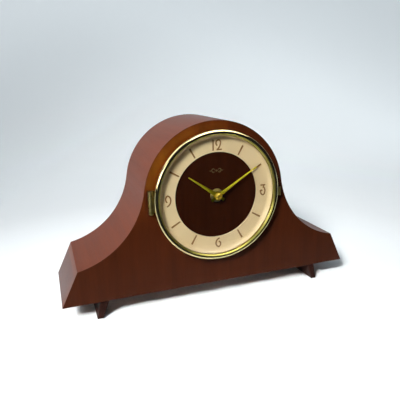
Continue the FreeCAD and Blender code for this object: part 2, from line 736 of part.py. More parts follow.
def chapter_ring():
    bore_radius, sheet_gauge = ring_bore, size.ring_sheet
    stand_height, rim = size.ring_stand, size.ring_rim
    flat, outer = ring_flat, ring_radius
    width = outer - flat
    rise = rim - stand_height
    sweep = derived("rim_radius", (width * width + rise * rise) / (rise * 2))
    centre_z = stand_height + sweep
    ring = turned("chapter_ring", [
        (bore_radius, 0), (bore_radius + sheet_gauge, 0), (bore_radius + sheet_gauge, ring_back),
        (flat, ring_back, Bend(sweep + sheet_gauge, flat, centre_z)),
        (outer, centre_z - root((sweep + sheet_gauge) * (sweep + sheet_gauge) - width * width)),
        (outer, rim, Bend(sweep, flat, centre_z, left=False)), (flat, stand_height),
        (bore_radius, stand_height)])
    stand("chapter_ring", ring, dial_axis)
    feet_group = group("chapter_ring_feet", *pegs(
        "ring_peg", size.ring_foot, -size.ring_foot_depth, ring_back, ring_foot_at,
        RING_FOOT_ANGLES))
    stand("chapter_ring_feet", feet_group, dial_axis)


def hour_bars():
    owners = []
    for hour in (1, 2, 4, 5, 7, 8, 10, 11):
        owner = body(f"hour_bar_{hour}")
        wide = size.bar_width / 2
        slim = wide * size.bar_taper
        high = ring_flat - size.bar_inset
        low = high - size.bar_length
        corners = [(-slim, low), (slim, low), (wide, high), (-wide, high)]
        pad_outline(owner, f"bar_outline_{hour}", corners, size.ring_stand,
                    size.ring_stand + size.marker_height, turn=-30 * hour)
        owners.append(owner)
    stand("hour_bars", group("hour_bars", *owners), dial_axis)


# The strokes of the numerals: a straight stroke has two points and a curved one has three,
# each counted from the dial's axis for a chapter ring as wide as the driving sizes say.
STROKES = {
    "one": [[(-4.5, 52.6), (-4.5, 63.0)]],
    "two": [[(-0.1, 57.6), (-0.9, 61.2), (1.9, 63.4)], [(1.9, 63.4), (3.9, 62.2), (4.3, 59.8)],
            [(4.3, 59.8), (3.2, 56.0), (0.4, 52.6)], [(0.4, 52.6), (5.0, 52.6)]],
    "three": [[(56.1, 6.7), (60.8, 6.7)], [(59.9, 6.7), (59.0, 4.2)],
              [(59.0, 4.2), (61.1, 1.2), (60.9, -2.2)], [(60.9, -2.2), (60.1, -4.5), (58.4, -5.4)],
              [(58.4, -5.4), (56.3, -3.6), (55.5, -1.2)], [(55.5, -1.2), (56.0, 0.5), (57.2, -0.2)]],
    "six": [[(2.2, -52.4), (-0.9, -54.8), (-1.8, -57.8)], [(-1.8, -57.8), (-0.8, -61.0), (1.5, -62.8)],
            [(1.5, -62.8), (3.5, -61.4), (4.1, -59.2)], [(4.1, -59.2), (3.6, -57.5), (2.4, -56.3)]],
    "nine": [[(-59.8, -1.7), (-60.9, 1.6), (-58.8, 5.4)], [(-58.8, 5.4), (-56.5, 4.0), (-55.3, 0.9)],
             [(-55.3, 0.9), (-56.1, -3.8), (-59.1, -6.7)]],
}


# The face of one stroke: its centre line, made as wide as the stroke.
def stroke_face(points):
    half = size.stroke.value / 2
    if len(points) == 3:
        return Part.Wire([Part.Arc(*points).toShape()]).makeOffset2D(half, 0, True, False)
    run = (points[1] - points[0]).normalize() * half
    side = FreeCAD.Vector(-run.y, run.x, 0)
    start, end = points[0] - run, points[1] + run
    corners = [start - side, end - side, end + side, start + side, start - side]
    return Part.Face(Part.makePolygon(corners))


def numerals():
    middle = ring_flat.value - size.bar_length.value / 2
    drawn_middle = 58
    pieces = []
    for name, strokes in STROKES.items():
        centre = {"one": (0, 1), "two": (0, 1), "three": (1, 0), "six": (0, -1),
                  "nine": (-1, 0)}[name]
        shift = FreeCAD.Vector(centre[0], centre[1], 0) * (middle - drawn_middle)
        faces = [stroke_face([FreeCAD.Vector(x, y, 0) + shift for x, y in stroke])
                 for stroke in strokes]
        solids = [face.extrude(FreeCAD.Vector(0, 0, size.marker_height.value)) for face in faces]
        figure = doc.addObject("Part::Feature", f"numeral_{name}")
        whole = solids[0].fuse(solids[1:]).removeSplitter() if len(solids) > 1 else solids[0]
        figure.Shape = whole
        bind(figure, "Placement.Base.z", size.ring_stand)
        pieces.append(figure)
    stand("hour_numerals", group("hour_numerals", *pieces), dial_axis)


# ---------------------------------------------------------------- the bezel door
skirt_outer = derived("skirt_outer", skirt_radius + size.bezel_sheet)
channel_roof = derived("channel_roof", size.bezel_crest - size.bezel_sheet)
glass_radius = derived("glass_radius", skirt_radius - size.slack)


def bezel_ring():
    outer, crest, gauge = size.bezel_radius, size.bezel_crest, size.bezel_sheet
    corner = size.corner_radius
    inside = corner - gauge
    ring = turned("bezel_ring", [
        (outer, size.bezel_lift),
        (outer, crest - corner, Bend(corner, outer - corner, crest - corner)),
        (outer - corner, crest), (skirt_outer, crest), (skirt_radius, crest - gauge * 0.4),
        (bezel_sight, size.glass_seat + 0.3), (bezel_sight, size.glass_seat),
        (skirt_radius, size.glass_seat), (skirt_radius, size.skirt_low),
        (skirt_outer, size.skirt_low), (skirt_outer, channel_roof),
        (outer - corner, channel_roof, Bend(inside, outer - corner, crest - corner, left=False)),
        (outer - gauge, crest - corner), (outer - gauge, size.bezel_lift)])
    stand("bezel_ring", ring, dial_axis)


def bezel_glass():
    radius, rise, gauge = glass_radius, size.glass_rise, size.glass_sheet
    dome = derived("dome_radius", (radius * radius + rise * rise) / (rise * 2))
    centre_z = glass_front - dome
    inner = dome - gauge
    edge_z = centre_z + root(inner * inner - radius * radius)
    glass = turned("bezel_glass", [
        (0, centre_z + inner), (0, centre_z + dome, Bend(dome, 0, centre_z, left=False)),
        (radius, glass_edge), (radius, edge_z, Bend(inner, 0, centre_z))])
    stand("bezel_glass", glass, dial_axis)
    low = size.skirt_low + 0.5
    ring = tube("glass_retaining_ring", glass_radius, bezel_sight - 0.1, low, edge_z - 0.02)
    stand("glass_retaining_ring", ring, dial_axis)


def bezel_hinge():
    half = size.hinge_length / 2
    third = half * 0.5
    radius, gauge = size.hinge_radius, size.hinge_sheet
    lift = size.hinge_stand
    bore_rod = cross_rod("hinge_bore", size.hinge_wire + size.slack, -half - 1, half + 1, "+y",
                         hinge_x, z=lift)
    plate = block("hinge_plate_leaf", (plate_left, plate_right), (-half, half), (-gauge, 0))
    parts = [plate]
    for side, (low, high) in enumerate(((-half, -third - 0.1), (third + 0.1, half))):
        parts.append(cross_rod(f"case_knuckle_{side}", radius, low, high, "+y", hinge_x, z=lift))
        parts.append(block(f"case_web_{side}", (plate_left, plate_left + gauge), (low, high),
                           (-gauge, lift)))
    holes = [screw_hole(f"hinge_plate_hole_{index}", HINGE_SCREW, spot, "+z")
             for index, spot in enumerate(hinge_screw_spots)]
    stand("bezel_hinge_plate",
          cut("bezel_hinge_plate", fuse("hinge_plate_whole", *parts), bore_rod, *holes), dial_axis)
    knuckle = cross_rod("bezel_knuckle", radius, -third, third, "+y", hinge_x, z=lift)
    saddle = block("hinge_saddle", (hinge_x, -size.bezel_radius + 1), (-third, third),
                   (lift - radius * 0.6, lift + radius * 0.6))
    ring_space = rod("saddle_seat", size.bezel_radius, -1, size.bezel_crest + 1)
    leaf_bore = cross_rod("leaf_bore", size.hinge_wire + size.slack, -half, half, "+y",
                          hinge_x, z=lift)
    leaf = cut("bezel_hinge_leaf", fuse("hinge_leaf_whole", knuckle, saddle), leaf_bore,
               ring_space)
    stand("bezel_hinge_leaf", leaf, dial_axis)
    pin = cross_rod("bezel_hinge_wire", size.hinge_wire, -half, half, "+y", hinge_x, z=lift)
    stand("bezel_hinge_pin", pin, dial_axis)
    screws = [screw(f"bezel_hinge_screw_{index}", HINGE_SCREW, spot, "+z")
              for index, spot in enumerate(hinge_screw_spots)]
    screws.append(screw("catch_clip_screw", CLIP_SCREW, clip_screw_spot(), "+z"))
    stand("bezel_fitting_screws", group("bezel_fitting_screws", *screws), dial_axis)


def thumb_tab():
    reach = size.bezel_radius + size.tab_reach
    half = size.tab_height / 2
    low, high = -size.tab_drop - half, half - size.tab_drop
    plate = block("tab_plate", (size.bezel_radius - 1, reach - 1), (low, high),
                  (size.tab_stand, size.tab_stand + size.tab_sheet))
    curl = cross_rod("tab_curl", size.tab_sheet, low, high, "+y", reach - size.tab_sheet,
                     z=size.tab_stand + size.tab_sheet)
    ring_space = rod("tab_seat", size.bezel_radius, -1, size.bezel_crest + 1)
    stand("bezel_thumb_tab", cut("bezel_thumb_tab", fuse("tab_whole", plate, curl), ring_space),
          dial_axis)


CLIP_WIDTH, CLIP_GAUGE, CLIP_RISE, CLIP_HALF = 2.4, 0.5, 5.5, 6.2


def clip_screw_spot():
    return clip_x + CLIP_WIDTH / 2, Size(-CLIP_HALF * 0.6), Size(CLIP_GAUGE)


def catch_clip():
    base = block("clip_base", (clip_x, clip_x + CLIP_WIDTH), (-CLIP_HALF, CLIP_HALF),
                 (0, CLIP_GAUGE))
    spring = block("clip_spring", (clip_x + CLIP_WIDTH - CLIP_GAUGE, clip_x + CLIP_WIDTH),
                   (-CLIP_HALF * 0.2, CLIP_HALF), (0, CLIP_RISE))
    hole = screw_hole("clip_hole", CLIP_SCREW, clip_screw_spot(), "+z")
    clip = cut("bezel_catch_clip", fuse("clip_whole", base, spring), hole)
    stand("bezel_catch_clip", clip, dial_axis)


# ---------------------------------------------------------------- the hands
hour_seat = derived("hour_seat", size.washer_sheet + size.nut_sheet + size.thread_stand + 0.5)
minute_seat = derived("minute_seat", hour_seat + size.hand_ridge + 0.6)
screw_top = derived("screw_top", minute_seat + size.hand_sheet + size.nut_height * 0.55)


# A pressed hand with a ridge down its blade, drawn pointing at twelve.
def hand(label, root_width, reach, angle, seat, bore_radius):
    owner = body(label)
    pad_disc(owner, label + "_hub", size.hub_radius, 0, size.hand_sheet)
    tail = size.tail_width / 2
    pad_outline(owner, label + "_tail",
                [(-tail, -size.tail_reach), (tail, -size.tail_reach), (tail * 0.8, 0),
                 (-tail * 0.8, 0)], 0, size.hand_sheet)
    stations = ((size.nut_radius + size.running, root_width, size.hand_ridge),
                (reach * 0.35, root_width * 0.66, size.hand_ridge * 0.85),
                (reach, size.hand_tip, size.hand_sheet))
    sections = []
    for index, (place, width, height) in enumerate(stations):
        drawing = sketch(owner, f"{label}_section_{index}", -place, "XZ_Plane")
        draw_outline(drawing, [(-width / 2, 0), (width / 2, 0), (0, height)])
        sections.append(drawing)
    blade = owner.newObject("PartDesign::AdditiveLoft", label + "_blade")
    blade.Profile = sections[0]
    blade.Sections = sections[1:]
    blade.Ruled = True
    owner.Tip = blade
    bore(owner, label + "_eye", (bore_radius,))
    whole = group(label + "_turned", owner)
    whole.Placement = FreeCAD.Placement(
        FreeCAD.Vector(), FreeCAD.Rotation(FreeCAD.Vector(0, 0, 1), -angle.value))
    stand(label, whole, dial_axis, z=seat)


def hands():
    hour_reach = derived("hour_reach", ring_bore - size.hour_margin)
    minute_reach = derived("minute_reach", ring_flat - size.minute_margin)
    hand("hour_hand", size.hour_root, hour_reach, size.hour_angle, hour_seat, size.hour_pipe)
    hand("minute_hand", size.minute_root, minute_reach, size.minute_angle, minute_seat,
         size.hand_screw)
    radius, height = size.nut_radius, size.nut_height
    blind = screw_top - minute_seat - size.hand_sheet + 0.1
    crown = derived("crown_radius", (radius * radius + height * height * 0.5625)
                    / (height * 1.5))
    nut = turned("hand_nut", [
        (size.hand_screw, 0), (radius, 0),
        (radius, height * 0.25, Bend(crown, 0, height - crown)), (0, height), (0, blind),
        (size.hand_screw, blind)])
    stand("hand_nut", nut, dial_axis, z=minute_seat + size.hand_sheet)


# ---------------------------------------------------------------- the movement
box_front = derived("box_front", board_back - size.gasket)
box_inner = derived("box_inner", box_front - size.box_wall)
box_seam = derived("box_seam", box_front - size.box_split)
box_floor = derived("box_floor", box_inner - size.battery_radius * 2 + 0.2)
box_rear = derived("box_rear", box_floor - size.box_wall)
inner_half = derived("inner_half", size.battery_length / 2 + size.contact_room)
box_half = derived("box_half", inner_half + size.box_wall)
battery_drop = derived("battery_drop", size.train_room + 2 + size.battery_radius)
inner_rise = derived("inner_rise", battery_drop + size.battery_radius + size.cell_room)
box_rise = derived("box_rise", inner_rise + size.box_wall)
flange_rear = derived("flange_rear", box_inner - 1)
plate_front = derived("plate_front", box_seam + size.running)
plate_rear = derived("plate_rear", plate_front - size.plate_sheet)
bush_front = derived("bush_front", size.washer_sheet + size.nut_sheet + size.thread_stand)

CANNON, MINUTE_WHEEL, MOTION_PINION, HOUR_WHEEL = 15, 45, 12, 48
CENTRE_WHEEL, THIRD_WHEEL, SECONDS_WHEEL, INTERMEDIATE_WHEEL, PINION = 64, 60, 48, 40, 8
THIRD_DIRECTION, INTERMEDIATE_DIRECTION, ROTOR_DIRECTION = 180, 75, 60
centre_module = derived("centre_module", size.third_reach * 2 / (CENTRE_WHEEL + PINION))


def offset(start, reach, direction):
    turn = math.radians(direction)
    return start[0] + reach * math.cos(turn), start[1] + reach * math.sin(turn)


CENTRE_SPOT = (Size(0), Size(0))
motion_spot = (size.motion_reach, Size(0))
third_spot = offset(CENTRE_SPOT, size.third_reach, THIRD_DIRECTION)
intermediate_spot = offset(CENTRE_SPOT, size.intermediate_reach, INTERMEDIATE_DIRECTION)
rotor_spot = offset(intermediate_spot, size.rotor_reach, ROTOR_DIRECTION)

CORE_LEFT, CORE_RIGHT, CORE_HALF = -14, 12, 1       # the motor's iron bar, along x and across
LIMB_WIDTH, CORE_POST_INSET, CHEEK_CLEAR = 4, 2, 0.5

partition_top = derived("partition_top", -size.train_room)
battery_z = derived("battery_z", box_inner - 0.1 - size.battery_radius)
post_x = derived("post_x", inner_half - 6.5)
post_low = derived("post_low", partition_top + 2.5)
post_high = derived("post_high", inner_rise - 11.5)
core_y = derived("core_y", inner_rise - 5.3)
board_front = derived("board_front", box_inner - 4.9)


def mounting():
    stand("movement_gasket", tube("movement_gasket", size.gasket_radius,
                                  size.bush_radius + size.pipe_play, box_front, board_back),
          dial_axis)
    bore_radius = size.hour_pipe + size.pipe_play
    bush = turned("threaded_bushing", [
        (bore_radius, flange_rear), (size.bush_flange, flange_rear), (size.bush_flange, box_inner),
        (size.bush_radius, box_inner), (size.bush_radius, bush_front), (bore_radius, bush_front)])
    stand("threaded_bushing", bush, dial_axis)
    stand("bushing_washer", tube("bushing_washer", size.washer_radius, size.bush_radius
                                 + size.slack, 0, size.washer_sheet), dial_axis)
    owner = body("bushing_nut")
    corner = size.nut_flats / math.sqrt(3)
    corners = [(corner * math.cos(math.radians(60 * step)),
                corner * math.sin(math.radians(60 * step))) for step in range(6)]
    pad_outline(owner, "nut_outline", corners, size.washer_sheet,
                size.washer_sheet + size.nut_sheet)
    bore(owner, "nut_thread", (size.bush_radius + size.slack,))
    stand("bushing_nut", owner, dial_axis)


def front_case():
    half, inner = box_half, inner_half
    shell = cut("front_case_shell", block("front_case_block", (-half, half),
                                          (-box_rise, box_rise), (box_seam, box_front)),
                block("front_case_space", (-inner, inner), (-inner_rise, inner_rise),
                      (box_seam - 1, box_inner)))
    parts = [shell, block("front_partition", (-inner, inner), (partition_top - 1, partition_top),
                          (box_seam, box_inner))]
    for index, (x, y) in enumerate(((-post_x, post_low), (post_x, post_low),
                                    (-post_x, post_high), (post_x, post_high))):
        parts.append(rod(f"plate_post_{index}", size.post_radius, plate_front, box_inner, x, y))
    parts.append(rod("board_boss", size.boss_radius, board_front, box_inner,
                     -post_x, post_high))
    for index, x in enumerate((CORE_LEFT + CORE_POST_INSET, CORE_RIGHT - CORE_POST_INSET)):
        parts.append(rod(f"core_post_{index}", size.core_post, plate_rear, box_inner, x, core_y))
    holes = [rod("front_bush_hole", size.bush_radius, box_seam, box_front + 1)]
    for name, spot, radius in (("stem", motion_spot, size.stem_radius),
                               ("third", third_spot, size.arbor_radius)):
        holes.append(rod(f"front_{name}_pivot", radius + size.pivot_play, box_inner - 1,
                         box_inner + 0.9, *spot))
    stand("movement_front_case",
          cut("movement_front_case", fuse("front_case_whole", *parts), *holes), dial_axis)


def rear_case():
    half, inner = box_half, inner_half
    shell = cut("rear_case_shell", block("rear_case_block", (-half, half),
                                         (-box_rise, box_rise), (box_rear, box_seam)),
                block("rear_case_space", (-inner, inner), (-inner_rise, inner_rise),
                      (box_floor, box_seam + 1)))
    wall = block("rear_partition", (-inner, inner), (partition_top - 1, partition_top),
                 (box_floor, box_seam))
    bay = size.battery_radius + 0.4
    holes = [block("battery_opening", (-inner + 1, inner - 1),
                   (-battery_drop - bay, -battery_drop + bay),
                   (box_rear - 1, box_floor + 1)),
             rod("rear_stem_hole", size.stem_radius + 0.2, box_rear - 1, box_floor + 1,
                 *motion_spot)]
    for name, spot in (("third", third_spot), ("seconds", CENTRE_SPOT),
                       ("intermediate", intermediate_spot), ("rotor", rotor_spot)):
        holes.append(rod(f"rear_{name}_pivot", size.arbor_radius + size.pivot_play,
                         box_floor - 0.9, box_floor + 1, *spot))
    stand("movement_rear_case",
          cut("movement_rear_case", fuse("rear_case_whole", shell, wall), *holes), dial_axis)


def train_plate():
    owner = body("train_plate")
    reach = inner_half - 4.5
    corners = [(-reach, partition_top + 0.5), (reach, partition_top + 0.5),
               (reach, post_high + 3), (-reach, post_high + 3)]
    pad_outline(owner, "plate_outline", corners, plate_rear, plate_front)
    pivot = size.arbor_radius + size.pivot_play
    tip = centre_module * (PINION / 2 + ADDENDUM)
    bore(owner, "plate_pivots", (pivot,), (tip + size.running, *third_spot),
         (pivot, *intermediate_spot), (pivot, *rotor_spot),
         (size.stem_radius + 0.2, *motion_spot))
    stand("train_plate", owner, dial_axis)


def arbor(owner, label, low, high, radius=None):
    pad_disc(owner, label, radius or size.arbor_radius, low, high)


wheel_z = {
    "hour": (flange_rear - 1.5, flange_rear - 0.5),
    "motion_pinion": (flange_rear - 3.1, flange_rear - 0.1),
    "motion_wheel": (flange_rear - 4.1, flange_rear - 3.1),
    "cannon": (flange_rear - 4.7, flange_rear - 2.8),
    "centre": (plate_front + 0.3, plate_front + 1.1),
    "third_pinion": (plate_rear - 0.3, plate_front + 1.4),
    "third": (plate_rear - 1, plate_rear - 0.3),
    "seconds_pinion": (plate_rear - 1.5, plate_rear - 0.15),
    "seconds": (plate_rear - 2.1, plate_rear - 1.5),
    "intermediate_pinion": (plate_rear - 2.4, plate_rear - 1.2),
    "intermediate": (plate_rear - 3.1, plate_rear - 2.4),
    "rotor_pinion": (plate_rear - 3.4, plate_rear - 2),
    "rotor": (plate_rear - 2, plate_rear - 0.4),
}


def motion_work():
    owner = body("hour_wheel")
    low, high = wheel_z["hour"]
    pinion_turn = 0
    hour_turn = mesh_turn(180, MOTION_PINION, pinion_turn, HOUR_WHEEL)
    gear(owner, "hour_gear", HOUR_WHEEL, size.motion_module, low, high, hour_turn)
    pad_disc(owner, "hour_pipe", size.hour_pipe, low, hour_seat + size.hand_sheet)
    bore(owner, "hour_bore", (size.minute_pipe + size.pipe_play,))
    stand("hour_wheel", owner, dial_axis)

    owner = body("minute_arbor")
    low, high = wheel_z["cannon"]
    gear(owner, "cannon_gear", CANNON, size.motion_module, low, high, 0)
    pad_disc(owner, "minute_pipe", size.minute_pipe, plate_front + 0.2, minute_seat)
    pad_disc(owner, "hand_thread", size.hand_screw, minute_seat, screw_top)
    stand("minute_arbor", owner, dial_axis)

    owner = body("motion_wheel")
    wheel_turn = mesh_turn(0, CANNON, 0, MINUTE_WHEEL)
    gear(owner, "motion_gear", MINUTE_WHEEL, size.motion_module, *wheel_z["motion_wheel"],
         wheel_turn)
    gear(owner, "motion_pinion", MOTION_PINION, size.motion_module, *wheel_z["motion_pinion"],
         pinion_turn)
    arbor(owner, "setting_stem", box_rear - size.set_knob_height, box_inner + 0.5,
          size.stem_radius)
    stand("motion_wheel", owner, dial_axis, *motion_spot)

    owner = body("setting_knob")
    knob_low = box_rear - 0.5 - size.set_knob_height
    ribs = 24
    rib_module = size.set_knob_radius * 2 / (ribs + 2 * ADDENDUM)
    gear(owner, "knob_ribs", ribs, rib_module, knob_low, box_rear - 0.5)
    bore(owner, "knob_bore", (size.stem_radius,))
    stand("setting_knob", owner, dial_axis, *motion_spot)

    top, bottom = wheel_z["cannon"][0], wheel_z["centre"][1]
    spring = turned("clutch_spring", [
        (size.minute_pipe + size.slack, top - 0.25), (size.minute_pipe + size.slack, top),
        (2.2, top), (4.4, bottom + 0.3), (4.4, bottom + size.slack), (4, bottom + size.slack),
        (2, top - 0.25)])
    stand("clutch_spring", spring, dial_axis)


def going_train():
    owner = body("centre_wheel")
    gear(owner, "centre_gear", CENTRE_WHEEL, centre_module, *wheel_z["centre"], 0)
    bore(owner, "centre_bore", (size.minute_pipe + size.pivot_play,))
    stand("centre_wheel", owner, dial_axis)

    # Each of these has a wheel, a pinion and an arbor between its two pivots.
    module = size.train_module
    rear_end, plate_end = box_floor - 0.7, plate_front - 0.1
    third_turn = 0
    seconds_turn = mesh_turn(0, THIRD_WHEEL, third_turn, PINION)
    step_turn = mesh_turn(INTERMEDIATE_DIRECTION, SECONDS_WHEEL, 0, PINION)
    rotor_turn = mesh_turn(ROTOR_DIRECTION, INTERMEDIATE_WHEEL, 0, PINION)
    pinion_turn = mesh_turn(THIRD_DIRECTION, CENTRE_WHEEL, 0, PINION)
    train = (("third", THIRD_WHEEL, third_turn, pinion_turn, centre_module, third_spot,
              box_inner + 0.7),
             ("seconds", SECONDS_WHEEL, 0, seconds_turn, module, CENTRE_SPOT, plate_end),
             ("intermediate", INTERMEDIATE_WHEEL, 0, step_turn, module, intermediate_spot,
              plate_end))
    for name, teeth, turn, small_turn, small_module, spot, front_end in train:
        owner = body(f"{name}_wheel")
        gear(owner, f"{name}_gear", teeth, module, *wheel_z[name], turn)
        gear(owner, f"{name}_pinion", PINION, small_module, *wheel_z[f"{name}_pinion"], small_turn)
        arbor(owner, f"{name}_arbor", rear_end, front_end)
        stand(f"{name}_wheel", owner, dial_axis, *spot)

    owner = body("rotor")
    gear(owner, "rotor_pinion", PINION, module, *wheel_z["rotor_pinion"], rotor_turn)
    pad_disc(owner, "rotor_magnet", size.rotor_radius, *wheel_z["rotor"])
    arbor(owner, "rotor_arbor", rear_end, plate_end)
    stand("rotor", owner, dial_axis, *rotor_spot)


# The stator is a flat iron plate under the rotor, with a bar across its open end that carries
# the coil between two cheeks.
def motor():
    owner = body("stator")
    front = plate_rear - size.stator_sheet
    rear = front - size.stator_sheet
    gap_left, gap_right = CORE_LEFT + LIMB_WIDTH, CORE_RIGHT - LIMB_WIDTH
    tip = size.intermediate_reach * math.sin(math.radians(INTERMEDIATE_DIRECTION)) + 1.7
    limb_top, gap_top = core_y + CORE_HALF, post_high + CORE_HALF
    corners = [(CORE_LEFT, tip), (CORE_RIGHT, tip), (CORE_RIGHT, limb_top),
               (gap_right, limb_top), (gap_right, gap_top), (gap_left, gap_top),
               (gap_left, limb_top), (CORE_LEFT, limb_top)]
    pad_outline(owner, "stator_outline", corners, rear, front)
    bore(owner, "rotor_space", (size.rotor_radius + size.running, *rotor_spot))
    stand("stator", owner, dial_axis)
    bar_y, bar_z = (core_y - CORE_HALF, core_y + CORE_HALF), (front, plate_rear)
    stand("coil_core", block("core_bar", (CORE_LEFT, CORE_RIGHT), bar_y, bar_z), dial_axis)
    middle = {"y": core_y, "z": (plate_rear + front) / 2}
    ends = (gap_left + CHEEK_CLEAR, gap_right - CHEEK_CLEAR - size.cheek_sheet)
    winding = cross_rod("winding", size.coil_radius, ends[0] + size.cheek_sheet / 2,
                        ends[1] + size.cheek_sheet / 2, "+x", **middle)
    cheeks = [cross_rod(f"cheek_{index}", size.cheek_radius, x, x + size.cheek_sheet, "+x",
                        **middle) for index, x in enumerate(ends)]
    space = block("core_space", (CORE_LEFT - 1, CORE_RIGHT + 1), bar_y, bar_z)
    stand("coil", cut("coil", fuse("coil_whole", winding, *cheeks), space), dial_axis)


def electrics():
    rear = board_front - 0.8
    left, right = -inner_half + 1, -post_x + 6
    card = block("circuit_card", (left, right), (post_high - 6, inner_rise - 1),
                 (rear, board_front))
    hole = rod("card_hole", 1.5 + size.slack, rear - 1, board_front + 1, -post_x, post_high)
    stand("circuit_board", cut("circuit_board", card, hole), dial_axis)
    chip = rod("clock_chip", 2.2, rear - 1, rear, left + 3, post_high + 6)
    crystal = cross_rod("quartz_crystal", 1, left + 2, left + 8, "+x", y=post_high - 4,
                        z=rear - 1)
    stand("board_components", group("board_components", chip, crystal), dial_axis)
    half = size.battery_length / 2
    place = {"y": -battery_drop, "z": battery_z}
    can = cross_rod("battery_can", size.battery_radius, -half, half - 1, "+x", **place)
    nub = cross_rod("battery_nub", 2.7, half - 1, half, "+x", **place)
    stand("battery", fuse("battery", can, nub), dial_axis)
    contacts = []
    for side, name in ((-1, "minus"), (1, "plus")):
        wall = (-inner_half, -inner_half + 0.3) if side < 0 else (inner_half - 0.3, inner_half)
        plate = block(f"{name}_plate", wall, (-battery_drop - 5, -battery_drop + 5),
                      (battery_z - 5, battery_z + 5))
        spring = (-inner_half + 0.3, -half) if side < 0 else (half, inner_half - 0.3)
        contacts.append(fuse(f"{name}_contact", plate,
                             cross_rod(f"{name}_spring", 2, *spring, "+x", **place)))
    stand("battery_contacts", group("battery_contacts", *contacts), dial_axis)


# ---------------------------------------------------------------- build, check and write
def build():
    front_panel()
    top_shell()
    end_boards()
    base_board()
    feet()
    back_panel()
    blocks()
    butt_leaves(-1, "rear_hinge_case_leaves", "rear_hinge_case_screws")
    butt_leaves(1, "rear_hinge_door_leaves", "rear_hinge_door_screws")
    butt_pins()
    rear_door()
    door_catch()
    chapter_ring()
    hour_bars()
    numerals()
    bezel_ring()
    bezel_glass()
    bezel_hinge()
    thumb_tab()
    catch_clip()
    hands()
    mounting()
    front_case()
    rear_case()
    train_plate()
    motion_work()
    going_train()
    motor()
    electrics()


def check_and_write():
    doc.recompute()
    for thing in doc.Objects:
        if "Invalid" in thing.State or "Error" in thing.State:
            raise RuntimeError(f"{thing.Label} did not build: {thing.State}")
    for name, thing in nodes.items():
        if thing.Shape.isNull() or not thing.Shape.isValid() or not thing.Shape.Solids:
            raise RuntimeError(f"{name} has no valid solid")
    os.makedirs("parts", exist_ok=True)
    for name, thing in nodes.items():
        thing.Shape.exportStep(f"parts/{name}.step")


build()
check_and_write()
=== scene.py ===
import json
import math
import bpy
import bmesh
from mathutils import Matrix, Vector


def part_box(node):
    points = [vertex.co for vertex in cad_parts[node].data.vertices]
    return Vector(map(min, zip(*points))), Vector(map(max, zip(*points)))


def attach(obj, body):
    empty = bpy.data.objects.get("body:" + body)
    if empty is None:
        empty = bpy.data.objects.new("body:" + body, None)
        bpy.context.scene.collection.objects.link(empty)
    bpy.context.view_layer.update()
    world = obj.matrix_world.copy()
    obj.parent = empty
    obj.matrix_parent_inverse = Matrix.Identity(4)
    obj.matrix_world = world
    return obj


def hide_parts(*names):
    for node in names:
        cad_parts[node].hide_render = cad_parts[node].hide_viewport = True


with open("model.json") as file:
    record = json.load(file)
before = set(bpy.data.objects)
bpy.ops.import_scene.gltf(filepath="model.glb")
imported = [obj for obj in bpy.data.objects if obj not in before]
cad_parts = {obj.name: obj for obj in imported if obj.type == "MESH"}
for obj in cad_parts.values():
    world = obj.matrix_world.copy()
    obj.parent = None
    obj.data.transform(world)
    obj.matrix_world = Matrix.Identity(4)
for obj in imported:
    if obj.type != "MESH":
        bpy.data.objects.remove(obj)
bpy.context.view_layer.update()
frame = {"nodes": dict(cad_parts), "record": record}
mm = 0.001

dialHeight = 0.1305
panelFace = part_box("front_panel")[0].y     # where the front of the front panel is
dialCentre = Vector((0, panelFace, dialHeight))

# the camera's place, lens and film width, and which way its right and up sides point
shot = {"place": (-0.18014, -0.488325, 0.25723), "lens": 38.88, "film": 36,
        "right": (0.9393, -0.3426, -0.0160), "up": (0.1057, 0.2449, 0.9638)}


def setCamera():
    lens = bpy.data.cameras.new("shotCamera")
    lens.lens = shot["lens"]
    lens.sensor_width = shot["film"]
    camera = bpy.data.objects.new("shotCamera", lens)
    bpy.context.scene.collection.objects.link(camera)
    right = Vector(shot["right"]).normalized()
    up = Vector(shot["up"])
    up = (up - right * up.dot(right)).normalized()
    back = right.cross(up)
    camera.matrix_world = Matrix.Translation(shot["place"]) @ Matrix(
        (right, up, back)).transposed().to_4x4()
    bpy.context.scene.camera = camera
    print("camera set")


setCamera()


class Wire:  # one socket of a node tree; sums on it add Math nodes
    def __init__(self, paint, socket):
        self.paint = paint
        self.socket = socket

    def sum(self, operation, first, second):
        return self.paint.add("ShaderNodeMath", {"operation": operation}, {0: first, 1: second})

    def __add__(self, other):
        return self.sum("ADD", self, other)

    def __sub__(self, other):
        return self.sum("SUBTRACT", self, other)

    def __mul__(self, other):
        return self.sum("MULTIPLY", self, other)

    def __rsub__(self, other):
        return self.sum("SUBTRACT", other, self)

    __radd__ = __add__
    __rmul__ = __mul__


